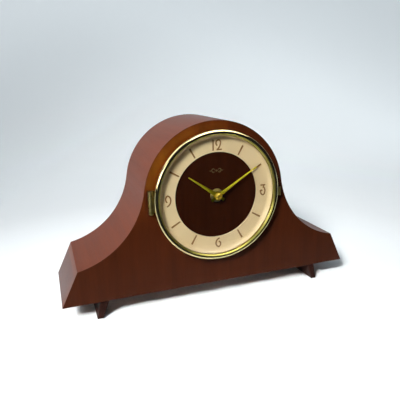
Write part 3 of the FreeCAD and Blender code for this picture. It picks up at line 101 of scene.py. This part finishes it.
class Paint:  # one material, or the world, and the nodes in it
    def __init__(self, name, store=None):
        self.material = (bpy.data.materials if store is None else store).new(name)
        self.material.use_nodes = True
        self.tree = self.material.node_tree
        self.tree.nodes.clear()

    def add(self, kind, settings=None, inputs=None, out=0):
        node = self.tree.nodes.new(kind)
        for key, value in (settings or {}).items():
            setattr(node, key, value)
        for key, value in (inputs or {}).items():
            socket = node.inputs[key]
            if isinstance(value, Wire):
                self.tree.links.new(value.socket, socket)
            elif socket.type == "RGBA" and len(value) == 3:
                socket.default_value = (*value, 1)
            else:
                socket.default_value = value
        return None if out is None else Wire(self, node.outputs[out])

    def place(self, stretch=(1, 1, 1), shift=(0, 0, 0)):
        spot = self.add("ShaderNodeTexCoord", out="Object")
        return self.add("ShaderNodeMapping", {}, {
            "Vector": spot, "Location": shift, "Scale": stretch})

    def noise(self, where, scale, detail, roughness, distortion=0):
        return self.add("ShaderNodeTexNoise", {}, {
            "Vector": where, "Scale": scale, "Detail": detail, "Roughness": roughness,
            "Distortion": distortion})

    def ramp(self, value, low, high, first=0, last=1):
        return self.add("ShaderNodeMapRange", {"clamp": True}, {
            "Value": value, "From Min": low, "From Max": high, "To Min": first, "To Max": last})

    def mix(self, share, first, second):
        return self.add("ShaderNodeMix", {"data_type": "RGBA"}, {
            0: share, 6: first, 7: second}, out=2)

    def bump(self, height, strength, distance):
        return self.add("ShaderNodeBump", {}, {
            "Height": height, "Strength": strength, "Distance": distance})

    def finish(self, shader, kind="ShaderNodeOutputMaterial"):
        self.add(kind, {}, {"Surface": shader}, out=None)
        return self.material

    def surface(self, **inputs):
        named = {key.replace("_", " "): value for key, value in inputs.items()}
        return self.finish(self.add("ShaderNodeBsdfPrincipled", {}, named))


# stretches the grain along one way of the clock
along = {"x": (0.06, 1, 1), "y": (1, 0.06, 1), "z": (1, 1, 0.06)}

timbers = {
    # the front, end and shell veneers are one wood with its own grain; the front is set darker
    # as painted shade, and the end and shell lighter as painted light, for how the light falls
    # on each face
    "shadedFrontVeneer": {
        "dark": (0.027, 0.0060, 0.0018), "light": (0.037, 0.0083, 0.0024), "grain": "z",
        "shift": (3.1, 0, 0), "pore": 0.45, "gloss": 0.36, "lacquer": 0.0, "sheen": 0.06},
    "litShellVeneer": {
        "dark": (0.070, 0.0150, 0.0050), "light": (0.098, 0.0220, 0.0075), "grain": "y",
        "shift": (0, 1.7, 2.0), "pore": 0.4, "gloss": 0.42, "lacquer": 0.1, "sheen": 0.09},
    "litEndVeneer": {
        "dark": (0.042, 0.0095, 0.0035), "light": (0.068, 0.0155, 0.0058), "grain": "z",
        "shift": (0.4, 2.2, 0), "pore": 0.4, "gloss": 0.44, "lacquer": 0.2, "sheen": 0.12},
    "baseTimber": {
        "dark": (0.100, 0.0420, 0.0200), "light": (0.180, 0.0850, 0.0450), "grain": "x",
        "shift": (0, 0, 0.3), "pore": 0.7, "gloss": 0.6, "lacquer": 0.0, "sheen": 0.4},
    # the feet are set very dark: painted shade for where they stand under the case
    "shadedFootTimber": {
        "dark": (0.012, 0.0040, 0.0028), "light": (0.028, 0.0095, 0.0065), "grain": "y",
        "shift": (0, 0.5, 0), "pore": 0.6, "gloss": 0.45, "lacquer": 0.0, "sheen": 0.04},
    "backTimber": {
        "dark": (0.130, 0.0560, 0.0270), "light": (0.230, 0.1120, 0.0580), "grain": "z",
        "shift": (1.2, 0, 0), "pore": 0.8, "gloss": 0.6, "lacquer": 0.05, "sheen": 0.4},
    "blockTimber": {
        "dark": (0.300, 0.1800, 0.0850), "light": (0.480, 0.3200, 0.1700), "grain": "y",
        "shift": (0, 0, 0.9), "pore": 0.9, "gloss": 0.7, "lacquer": 0.0, "sheen": 0.4},
}

# what all the timbers share; a noise is its scale, detail, roughness and distortion
grain = {"figure": (90, 3, 0.55, 0.6), "stripe": (420, 2, 0.6, 0.2), "pores": (1900, 2, 0.5),
         "cloud": (9, 2, 0.5), "figureShare": 0.5, "stripeShare": 0.3, "cloudShare": 0.2,
         "toneFrom": 0.36, "toneTo": 0.62, "poreFrom": 0.60, "poreTo": 0.72,
         "poreStain": 0.55, "poreShade": 0.4, "stripeRough": 0.10, "poreRough": 0.1,
         "stripeRelief": 0.3, "relief": 0.10, "deep": 0.0002, "coatRough": 0.16}
halfway = 0.5   # a noise strays to both sides of this


def makeTimber(name):
    want = timbers[name]
    paint = Paint(name)
    flow = paint.place(along[want["grain"]], want["shift"])
    figure = paint.noise(flow, *grain["figure"])
    stripe = paint.noise(flow, *grain["stripe"])
    pores = paint.noise(flow, *grain["pores"])
    cloud = paint.noise(paint.place(shift=want["shift"]), *grain["cloud"])
    blend = (figure * grain["figureShare"] + stripe * grain["stripeShare"]
             + cloud * grain["cloudShare"])
    tone = paint.ramp(blend, grain["toneFrom"], grain["toneTo"])
    colour = paint.mix(tone, want["dark"], want["light"])
    gap = paint.ramp(pores, grain["poreFrom"], grain["poreTo"]) * want["pore"]
    stain = tuple(grain["poreShade"] * part for part in want["dark"])
    colour = paint.mix(gap * grain["poreStain"], colour, stain)
    rough = (want["gloss"] + (stripe - halfway) * grain["stripeRough"]
             + gap * grain["poreRough"])
    relief = paint.bump(stripe * grain["stripeRelief"] - gap, grain["relief"], grain["deep"])
    return paint.surface(Base_Color=colour, Roughness=rough, Normal=relief,
                         Coat_Weight=want["lacquer"], Coat_Roughness=grain["coatRough"],
                         Specular_IOR_Level=want["sheen"])


metals = {
    "bezelBrass": {"tint": (0.90, 0.77, 0.38), "aged": (0.74, 0.58, 0.22),
                   "rough": 0.09, "wear": 0.20},
    # the lip's darker olive tint is partly age and partly painted shade for the dimmer
    # reflection it catches under the glass
    "shadedLipBrass": {"tint": (0.46, 0.39, 0.09), "aged": (0.30, 0.25, 0.05),
                 "rough": 0.28, "wear": 0.4},
    "fittingBrass": {"tint": (0.42, 0.34, 0.12), "aged": (0.14, 0.115, 0.035),
                     "rough": 0.30, "wear": 0.85},
    "handBrass": {"tint": (0.52, 0.45, 0.02), "aged": (0.38, 0.32, 0.015),
                  "rough": 0.32, "wear": 0.3},
    "nutBrass": {"tint": (0.92, 0.66, 0.08), "aged": (0.70, 0.46, 0.05),
                 "rough": 0.36, "wear": 0.3},
    "washerBrass": {"tint": (0.90, 0.80, 0.36), "aged": (0.72, 0.60, 0.22),
                    "rough": 0.42, "wear": 0.4},
    "steelPlate": {"tint": (0.60, 0.60, 0.61), "aged": (0.42, 0.43, 0.44),
                   "rough": 0.30, "wear": 0.4},
    "coreIron": {"tint": (0.42, 0.42, 0.44), "aged": (0.25, 0.25, 0.27),
                 "rough": 0.45, "wear": 0.5},
    "coilCopper": {"tint": (0.62, 0.26, 0.12), "aged": (0.36, 0.13, 0.05),
                   "rough": 0.33, "wear": 0.5},
}

# patches of age and fine brushing, which all the metals share
tarnish = {"patch": (120, 4, 0.6), "brushed": (1400, 2, 0.5), "patchFrom": 0.42, "patchTo": 0.72,
           "agedRough": 0.18, "brushedRough": 0.06, "relief": 0.04, "deep": 0.0001}


def makeMetal(name):
    want = metals[name]
    paint = Paint(name)
    where = paint.place()
    patch = paint.noise(where, *tarnish["patch"])
    brushed = paint.noise(where, *tarnish["brushed"])
    aged = paint.ramp(patch, tarnish["patchFrom"], tarnish["patchTo"]) * want["wear"]
    colour = paint.mix(aged, want["tint"], want["aged"])
    rough = (want["rough"] + aged * tarnish["agedRough"]
             + (brushed - halfway) * tarnish["brushedRough"])
    relief = paint.bump(brushed, tarnish["relief"], tarnish["deep"])
    return paint.surface(Base_Color=colour, Roughness=rough, Metallic=1.0, Normal=relief)


coatings = {
    "ringEnamel": {"base": (0.89, 0.705, 0.42), "other": (0.84, 0.655, 0.38),
                   "rough": 0.30, "scale": 45, "coat": 0.35},
    "markerPaint": {"base": (0.30, 0.145, 0.040), "other": (0.24, 0.112, 0.030),
                    "rough": 0.42, "scale": 260, "coat": 0.1},
    "fadedGilt": {"base": (0.155, 0.120, 0.038), "other": (0.085, 0.058, 0.020),
                  "rough": 0.45, "scale": 420, "coat": 0.0},
    "movementPlastic": {"base": (0.022, 0.022, 0.024), "other": (0.030, 0.030, 0.032),
                        "rough": 0.52, "scale": 900, "coat": 0.0},
    "wheelPlastic": {"base": (0.74, 0.73, 0.68), "other": (0.66, 0.65, 0.60),
                     "rough": 0.45, "scale": 500, "coat": 0.0},
    "knobPlastic": {"base": (0.48, 0.035, 0.025), "other": (0.40, 0.028, 0.020),
                    "rough": 0.40, "scale": 500, "coat": 0.1},
    "magnetBrown": {"base": (0.13, 0.070, 0.038), "other": (0.10, 0.052, 0.028),
                    "rough": 0.50, "scale": 700, "coat": 0.0},
    "gasketRubber": {"base": (0.020, 0.020, 0.020), "other": (0.032, 0.032, 0.032),
                     "rough": 0.75, "scale": 1100, "coat": 0.0},
    "boardGreen": {"base": (0.030, 0.160, 0.065), "other": (0.022, 0.120, 0.048),
                   "rough": 0.40, "scale": 300, "coat": 0.2},
    "chipBlack": {"base": (0.012, 0.012, 0.012), "other": (0.020, 0.020, 0.020),
                  "rough": 0.30, "scale": 800, "coat": 0.1},
    "batteryJacket": {"base": (0.055, 0.062, 0.080), "other": (0.045, 0.050, 0.066),
                      "rough": 0.30, "scale": 60, "coat": 0.4},
}

# the cloudiness and the fine grain of every paint, plastic and rubber
speckle = {"cloud": (3, 0.5), "fine": (2, 0.5), "finer": 8, "cloudFrom": 0.35, "cloudTo": 0.65,
           "fineRough": 0.1, "relief": 0.05, "deep": 0.0001, "coatRough": 0.15}


def makeCoating(name):
    want = coatings[name]
    paint = Paint(name)
    where = paint.place()
    cloud = paint.noise(where, want["scale"], *speckle["cloud"])
    fine = paint.noise(where, want["scale"] * speckle["finer"], *speckle["fine"])
    share = paint.ramp(cloud, speckle["cloudFrom"], speckle["cloudTo"])
    colour = paint.mix(share, want["base"], want["other"])
    rough = want["rough"] + (fine - halfway) * speckle["fineRough"]
    relief = paint.bump(fine, speckle["relief"], speckle["deep"])
    return paint.surface(Base_Color=colour, Roughness=rough, Normal=relief,
                         Coat_Weight=want["coat"], Coat_Roughness=speckle["coatRough"])


crystal = {"clear": (0.985, 0.992, 0.988), "shine": (1, 1, 1), "rough": 0.03, "index": 1.45,
           "strength": 0.55, "smear": (60, 3, 0.6), "smearFrom": 0.5, "smearTo": 0.9,
           "smearMost": 0.01}


def makeGlass():
    want = crystal
    paint = Paint("crystalGlass")
    clear = paint.add("ShaderNodeBsdfTransparent", {}, {"Color": want["clear"]})
    gloss = paint.add("ShaderNodeBsdfGlossy", {}, {"Color": want["shine"],
                                                   "Roughness": want["rough"]})
    edge = paint.add("ShaderNodeFresnel", {}, {"IOR": want["index"]})
    smear = paint.noise(paint.place(), *want["smear"])
    share = edge * want["strength"] + paint.ramp(smear, want["smearFrom"], want["smearTo"],
                                                 0, want["smearMost"])
    return paint.finish(paint.add("ShaderNodeMixShader", {}, {0: share, 1: clear, 2: gloss}))


# the finish of each material slot of the CAD model
finishes = {
    # the tones of the front, end and shell veneer finishes hold painted light and shade
    "front_veneer": makeTimber("shadedFrontVeneer"), "shell_veneer": makeTimber("litShellVeneer"),
    "end_veneer": makeTimber("litEndVeneer"), "base_timber": makeTimber("baseTimber"),
    # the foot finish is darkened as painted shade under the case
    "foot_timber": makeTimber("shadedFootTimber"), "back_timber": makeTimber("backTimber"),
    "block_timber": makeTimber("blockTimber"),
    "bezel_brass": makeMetal("bezelBrass"), "fitting_brass": makeMetal("fittingBrass"),
    "hand_brass": makeMetal("handBrass"), "steel": makeMetal("steelPlate"),
    "core_iron": makeMetal("coreIron"), "coil_copper": makeMetal("coilCopper"),
    "ring_enamel": makeCoating("ringEnamel"), "marker_paint": makeCoating("markerPaint"),
    "crystal_glass": makeGlass(), "movement_plastic": makeCoating("movementPlastic"),
    "wheel_plastic": makeCoating("wheelPlastic"), "knob_plastic": makeCoating("knobPlastic"),
    "magnet_brown": makeCoating("magnetBrown"), "gasket_rubber": makeCoating("gasketRubber"),
    "board_green": makeCoating("boardGreen"), "chip_black": makeCoating("chipBlack"),
    "battery_jacket": makeCoating("batteryJacket"),
}


# nodes whose brass differs from the rest of their slot
ownFinish = {"hand_nut": makeMetal("nutBrass"), "bushing_washer": makeMetal("washerBrass"),
             "bushing_nut": makeMetal("washerBrass")}


def paintNodes():
    for part in frame["record"]["subparts"]:
        node = part["node"]
        finish = ownFinish.get(node, finishes[part["material_slot"]])
        for place in frame["nodes"][node].material_slots:
            place.material = finish
    print("finishes put on the CAD nodes")


paintNodes()


# how near two corners are before they become one, in metres
weldGap = {"spun": 0.000005, "copied": 0.000002, "drawn": 0.000001}


def weld(mesh, kind):
    bmesh.ops.remove_doubles(mesh, verts=mesh.verts[:], dist=weldGap[kind])


def keepPiece(name, mesh, finish, smoothAngle=30):
    data = bpy.data.meshes.new(name)
    mesh.to_mesh(data)
    mesh.free()
    for face in data.polygons:
        face.use_smooth = True
    data.set_sharp_from_angle(angle=math.radians(smoothAngle))
    data.materials.append(finish)
    piece = bpy.data.objects.new(name, data)
    bpy.context.scene.collection.objects.link(piece)
    return piece


def arcPoints(centre, radius, start, end, steps):
    turns = [math.radians(start + (end - start) * step / steps) for step in range(steps + 1)]
    return [(centre[0] + radius * math.cos(turn), centre[1] + radius * math.sin(turn))
            for turn in turns]


# turns a section of (radius, height out of the dial) in mm about the dial's axis
def spinSection(section, steps, closed=True):
    mesh = bmesh.new()
    spots = [mesh.verts.new((dialCentre.x + radius * mm, dialCentre.y - height * mm,
                             dialCentre.z)) for radius, height in section]
    after = spots[1:] + spots[:1] if closed else spots[1:]
    edges = [mesh.edges.new(pair) for pair in zip(spots, after)]
    bmesh.ops.spin(mesh, geom=spots + edges, cent=dialCentre, axis=(0, 1, 0),
                   angle=math.radians(360), steps=steps, use_merge=True)
    weld(mesh, "spun")
    bmesh.ops.recalc_face_normals(mesh, faces=mesh.faces[:])
    return mesh


# the hollow brass ring: its roll, its crest, and the lip that the glass sits behind
bezel = {"radius": 75.3, "crest": 10.2, "gauge": 0.8, "lift": 0.4, "corner": 2.7, "skirt": 70.4,
         "sight": 69.4, "seat": 8.4, "skirtLow": 5.4, "lipEdge": 0.3, "lipDrop": 0.4,
         "outerArc": 10, "innerArc": 6, "steps": 240}


def makeBezel():
    want = bezel
    outer, crest, gauge, corner = want["radius"], want["crest"], want["gauge"], want["corner"]
    skirt, sight, seat = want["skirt"], want["sight"], want["seat"]
    roll = (outer - corner, crest - corner)
    section = [(outer, want["lift"])]
    section += arcPoints(roll, corner, 0, 90, want["outerArc"])
    section += [(skirt + gauge, crest), (skirt, crest - gauge * want["lipDrop"]),
                (sight, seat + want["lipEdge"]), (sight, seat), (skirt, seat),
                (skirt, want["skirtLow"]), (skirt + gauge, want["skirtLow"]),
                (skirt + gauge, crest - gauge)]
    section += arcPoints(roll, corner - gauge, 90, 0, want["innerArc"])
    section += [(outer - gauge, want["lift"])]
    mesh = spinSection(section, want["steps"])
    for face in mesh.faces:           # the lip is rougher than the roll; its darker olive brass is partly age and partly painted shade
        centre = face.calc_center_median() - dialCentre
        face.material_index = int(math.hypot(centre.x, centre.z) < (skirt + gauge) * mm)
    piece = keepPiece("bezelRing", mesh, finishes["bezel_brass"])
    piece.data.materials.append(makeMetal("shadedLipBrass"))
    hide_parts("bezel_ring")
    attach(piece, "bezel")
    print("bezel turned")


# the glass: two spherical faces a gauge apart
dome = {"radius": 70.35, "rise": 3.8, "gauge": 1.4, "edge": 8.25, "steps": 192, "rings": 24}


def makeGlassDome():
    want = dome
    radius = want["radius"]
    curve = (radius ** 2 + want["rise"] ** 2) / (2 * want["rise"])
    centre = want["edge"] + want["rise"] - curve
    rings = want["rings"]
    steps = [radius * step / rings for step in range(rings + 1)]
    section = [(reach, centre + math.sqrt(curve ** 2 - reach ** 2)) for reach in steps]
    inner = curve - want["gauge"]
    section += [(reach, centre + math.sqrt(inner ** 2 - reach ** 2)) for reach in steps[::-1]]
    piece = keepPiece("glassDome", spinSection(section, want["steps"], closed=False),
                      finishes["crystal_glass"])
    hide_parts("bezel_glass")
    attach(piece, "bezel")
    print("glass blown")


# a copy of a CAD node's mesh with its loose triangles joined up into flat faces
def joinedCopy(node, flatAngle=0.4):
    mesh = bmesh.new()
    mesh.from_mesh(frame["nodes"][node].data)
    weld(mesh, "copied")
    bmesh.ops.dissolve_limit(mesh, angle_limit=math.radians(flatAngle), verts=mesh.verts[:],
                             edges=mesh.edges[:])
    return mesh


# takes the sharpness off some edges; want holds the arris in mm and its segments
def ease(mesh, edges, want):
    bmesh.ops.bevel(mesh, geom=edges, offset=want["arris"] * mm, offset_type="OFFSET",
                    segments=want["segments"], profile=0.5, affect="EDGES", material=-1,
                    clamp_overlap=True)


# the front board; the shell's veneer covers its outer edge. Sizes are in mm, flatFace in mm2
panel = {"arris": 0.55, "segments": 3, "deep": 5.0, "clearOfDial": 60.0, "flush": 0.05,
         "squareAngle": 60, "smoothAngle": 35, "flatFace": 900}


def makePanel():
    want = panel
    deep, clear = want["deep"] * mm, want["clearOfDial"] * mm
    mesh = joinedCopy("front_panel")
    rim = [edge for edge in mesh.edges
           if all(abs(v.co.y - panelFace) < want["flush"] * mm for v in edge.verts)
           and edge.calc_face_angle(0) > math.radians(want["squareAngle"])
           and all((v.co - dialCentre).length > clear for v in edge.verts)
           and any(max(abs(v.co.y - panelFace) for v in face.verts) > deep
                   for face in edge.link_faces)]
    ease(mesh, rim, want)
    for face in mesh.faces:
        depths = [v.co.y for v in face.verts]
        away = (face.calc_center_median() - dialCentre).length
        face.material_index = int(max(depths) - min(depths) > deep and away > clear)
    piece = keepPiece("frontBoard", mesh, finishes["front_veneer"], want["smoothAngle"])
    piece.data.materials.append(finishes["shell_veneer"])
    for face in piece.data.polygons:  # the two broad faces stay flat
        face.use_smooth = face.area < want["flatFace"] * mm ** 2
    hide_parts("front_panel")
    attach(piece, "case")
    print("front board eased")


# the two feet, with every long corner eased
feet = {"arris": 0.6, "segments": 2, "shortest": 5, "squareAngle": 50, "smoothAngle": 35}


def makeFeet():
    want = feet
    for side in ("left", "right"):
        mesh = joinedCopy(f"foot_{side}")
        corners = [edge for edge in mesh.edges if edge.is_manifold
                   and edge.calc_length() > want["shortest"] * mm
                   and edge.calc_face_angle(0) > math.radians(want["squareAngle"])]
        ease(mesh, corners, want)
        piece = keepPiece(f"{side}Foot", mesh, finishes["foot_timber"], want["smoothAngle"])
        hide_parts(f"foot_{side}")
        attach(piece, "case")
    print("feet eased")


# a small gilt flourish above the hands, drawn in strokes of (points in mm, thickness at them);
# the scrolls are drawn on both sides and the leaves once
flourish = {
    "lift": 28.6, "weight": 0.34, "flat": 0.35, "roundness": 2, "fineness": 8, "order": 3,
    "smoothAngle": 60,
    "scrolls": (
        (((1.5, 0.1), (2.6, 2.3), (5.2, 2.2), (6.0, -0.9), (8.9, 0.5)),
         (0.4, 1.0, 1.3, 1.0, 0.3)),
        (((1.7, -0.4), (3.0, -2.4), (5.0, -1.8), (4.9, -0.3), (3.7, -0.5)),
         (0.4, 0.9, 1.0, 0.8, 0.5))),
    "leaves": (
        (((-0.9, 0.0), (0.0, 1.5), (0.9, 0.0)), (0.5, 1.2, 0.5)),
        (((-0.96, 0.06), (0.0, -1.5), (0.96, 0.06)), (0.5, 1.2, 0.5))),
}


def drawStroke(curve, stroke, side, order):
    points, weights = stroke
    line = curve.splines.new("NURBS")
    line.points.add(len(points) - 1)
    for spot, (x, z), weight in zip(line.points, points, weights):
        spot.co = (side * x * mm, 0, z * mm, 1)
        spot.radius = weight
    line.order_u = order
    line.use_endpoint_u = True


def makeFlourish():
    want = flourish
    curve = bpy.data.curves.new("flourishLine", "CURVE")
    curve.dimensions = "3D"
    curve.bevel_depth = want["weight"] * mm
    curve.bevel_resolution = want["roundness"]
    curve.resolution_u = want["fineness"]
    curve.use_fill_caps = True
    for stroke in want["scrolls"]:
        for side in (1, -1):
            drawStroke(curve, stroke, side, want["order"])
    for stroke in want["leaves"]:
        drawStroke(curve, stroke, 1, want["order"])
    thing = bpy.data.objects.new("flourishLine", curve)
    mesh = bmesh.new()
    mesh.from_mesh(bpy.data.meshes.new_from_object(thing))
    weld(mesh, "drawn")
    bmesh.ops.scale(mesh, verts=mesh.verts[:], vec=(1, want["flat"], 1))
    bmesh.ops.translate(mesh, verts=mesh.verts[:],
                        vec=dialCentre + Vector((0, 0, want["lift"] * mm)))
    bmesh.ops.recalc_face_normals(mesh, faces=mesh.faces[:])
    bpy.data.objects.remove(thing)
    piece = keepPiece("dialFlourish", mesh, makeCoating("fadedGilt"), want["smoothAngle"])
    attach(piece, "case")
    print("flourish drawn")


makeBezel()
makeGlassDome()
makePanel()
makeFeet()
makeFlourish()


# a sheet that bends up behind the clock, and an apron in front of it, in metres; from near to
# far the paper starts to glow a little, so that it stays pale all round
studio = {"paper": (0.76, 0.80, 0.83), "fleck": (30, 3, 0.5), "fleckShade": 0.985, "rough": 0.8,
          "edge": -0.17, "front": 2.4, "back": 0.45, "side": 2.6, "bend": 0.8, "wall": 3.0,
          "bendSteps": 24, "near": 0.45, "far": 1.3, "farGlow": (0.40, 0.44, 0.46),
          "room": (0.018, 0.019, 0.021), "seen": (0.62, 0.67, 0.71)}

# each lamp's place, aim, width, height, power, colour and beam angle
lamps = {
    "keyBox": ((-0.95, -0.95, 1.05), (0, -0.02, 0.13),
               0.35, 0.35, 5.4, (1.0, 0.985, 0.96), 50),
    "topBox": ((-0.72, -0.22, 1.00), (-0.02, -0.02, 0.14),
               1.10, 0.75, 4.6, (0.97, 0.985, 1.0), 180),
    "overBox": ((0.26, -0.40, 0.98), (0, -0.05, 0.15),
                1.15, 0.85, 12.0, (1.0, 1.0, 1.0), 180),
    "sideBox": ((-0.80, -0.66, 0.36), (0, -0.05, 0.13),
                1.00, 0.36, 4.6, (1.0, 1.0, 1.0), 180),
    "rearBox": ((0.35, 0.75, 1.20), (0, 0.15, 0.0),
                0.8, 0.5, 0.5, (0.93, 0.97, 1.0), 180),
    "wallWash": ((0.55, 0.25, 1.6), (0.90, 1.35, 0.40),
                 1.8, 0.5, 0.6, (0.92, 0.97, 1.0), 80),
}
dullLamps = ("keyBox",)               # lamps that no gloss shows
glossLamps = ("overBox", "sideBox")   # lamps that only gloss and polish show

# warm light that the polished bezel throws on the timber on its left
glow = {"angles": (176, 148, 120, 92), "power": (0.0110, 0.0130, 0.0088, 0.0050),
        "radius": 0.0755, "ahead": 0.0115, "length": 0.034, "width": 0.004,
        "colour": (1.0, 0.86, 0.03), "beam": 150, "lean": 0.45}


def makeSheet(name, rows, paper):
    mesh = bmesh.new()
    side = studio["side"]
    spots = [mesh.verts.new((-side, y, z)) for y, z in rows]
    for low, high in zip(spots, spots[1:]):
        mesh.edges.new((low, high))
    made = bmesh.ops.extrude_edge_only(mesh, edges=mesh.edges[:])
    moved = [v for v in made["geom"] if isinstance(v, bmesh.types.BMVert)]
    bmesh.ops.translate(mesh, verts=moved, vec=(2 * side, 0, 0))
    bmesh.ops.recalc_face_normals(mesh, faces=mesh.faces[:])
    sheet = keepPiece(name, mesh, paper)
    return sheet


def makePaper():
    want = studio
    paint = Paint("studioPaper")
    fleck = paint.noise(paint.place(), *want["fleck"])
    shade = tuple(want["fleckShade"] * part for part in want["paper"])
    reach = paint.add("ShaderNodeVectorMath", {"operation": "LENGTH"}, {0: paint.place()},
                      "Value")
    far = paint.ramp(reach, want["near"], want["far"])
    return paint.surface(Base_Color=paint.mix(fleck, want["paper"], shade),
                         Roughness=want["rough"], Emission_Strength=1.0,
                         Emission_Color=paint.mix(far, (0, 0, 0), want["farGlow"]))


def layPaper():
    back, bend, steps = studio["back"], studio["bend"], studio["bendSteps"]
    paper = makePaper()
    rows = [(studio["edge"], 0), (back, 0)]
    for step in range(1, steps + 1):
        angle = math.radians(90 * step / steps)
        rows.append((back + bend * math.sin(angle), bend * (1 - math.cos(angle))))
    rows.append((back + bend, studio["wall"]))
    makeSheet("studioSweep", rows, paper)
    apron = makeSheet("studioApron", [(-studio["front"], 0), (studio["edge"], 0)], paper)
    apron.visible_glossy = False      # the gloss and the brass see a dark room in front
    apron.visible_diffuse = False
    print("paper laid")


def addLamp(name, place, aim, width, height, power, colour, beam):
    lamp = bpy.data.lights.new(name, "AREA")
    lamp.energy = power
    lamp.color = colour
    lamp.shape = "RECTANGLE"
    lamp.size = width
    lamp.size_y = height
    lamp.spread = math.radians(beam)
    thing = bpy.data.objects.new(name, lamp)
    bpy.context.scene.collection.objects.link(thing)
    thing.location = place
    thing.rotation_euler = (Vector(aim) - Vector(place)).to_track_quat("-Z", "Y").to_euler()
    return thing


def addGlow():
    for step, (angle, power) in enumerate(zip(glow["angles"], glow["power"])):
        turn = math.radians(angle)
        outward = Vector((math.cos(turn), 0, math.sin(turn)))
        tangent = Vector((-math.sin(turn), 0, math.cos(turn)))
        place = dialCentre + outward * glow["radius"] - Vector((0, glow["ahead"], 0))
        away = (outward * glow["lean"] + Vector((0, 1, 0))).normalized()
        thing = addLamp(f"bezelGlow{step}", place, place + away, glow["length"], glow["width"],
                        power, glow["colour"], glow["beam"])
        across = away.cross(tangent)
        thing.rotation_euler = Matrix((tangent, -across, -away)).transposed().to_euler()
        thing.visible_camera = False
        thing.visible_glossy = False


def lightStudio():
    sky = Paint("studioWorld", bpy.data.worlds)
    seen = sky.add("ShaderNodeLightPath", out="Is Camera Ray")
    tone = sky.mix(seen, studio["room"], studio["seen"])
    shade = sky.add("ShaderNodeBackground", {}, {"Color": tone, "Strength": 1.0})
    bpy.context.scene.world = sky.finish(shade, "ShaderNodeOutputWorld")
    for name, facts in lamps.items():
        lamp = addLamp(name, *facts)
        lamp.visible_glossy = name not in dullLamps
        lamp.visible_diffuse = name not in glossLamps
    addGlow()
    bpy.context.scene.view_settings.view_transform = "Standard"
    print("studio lit")


layPaper()
lightStudio()
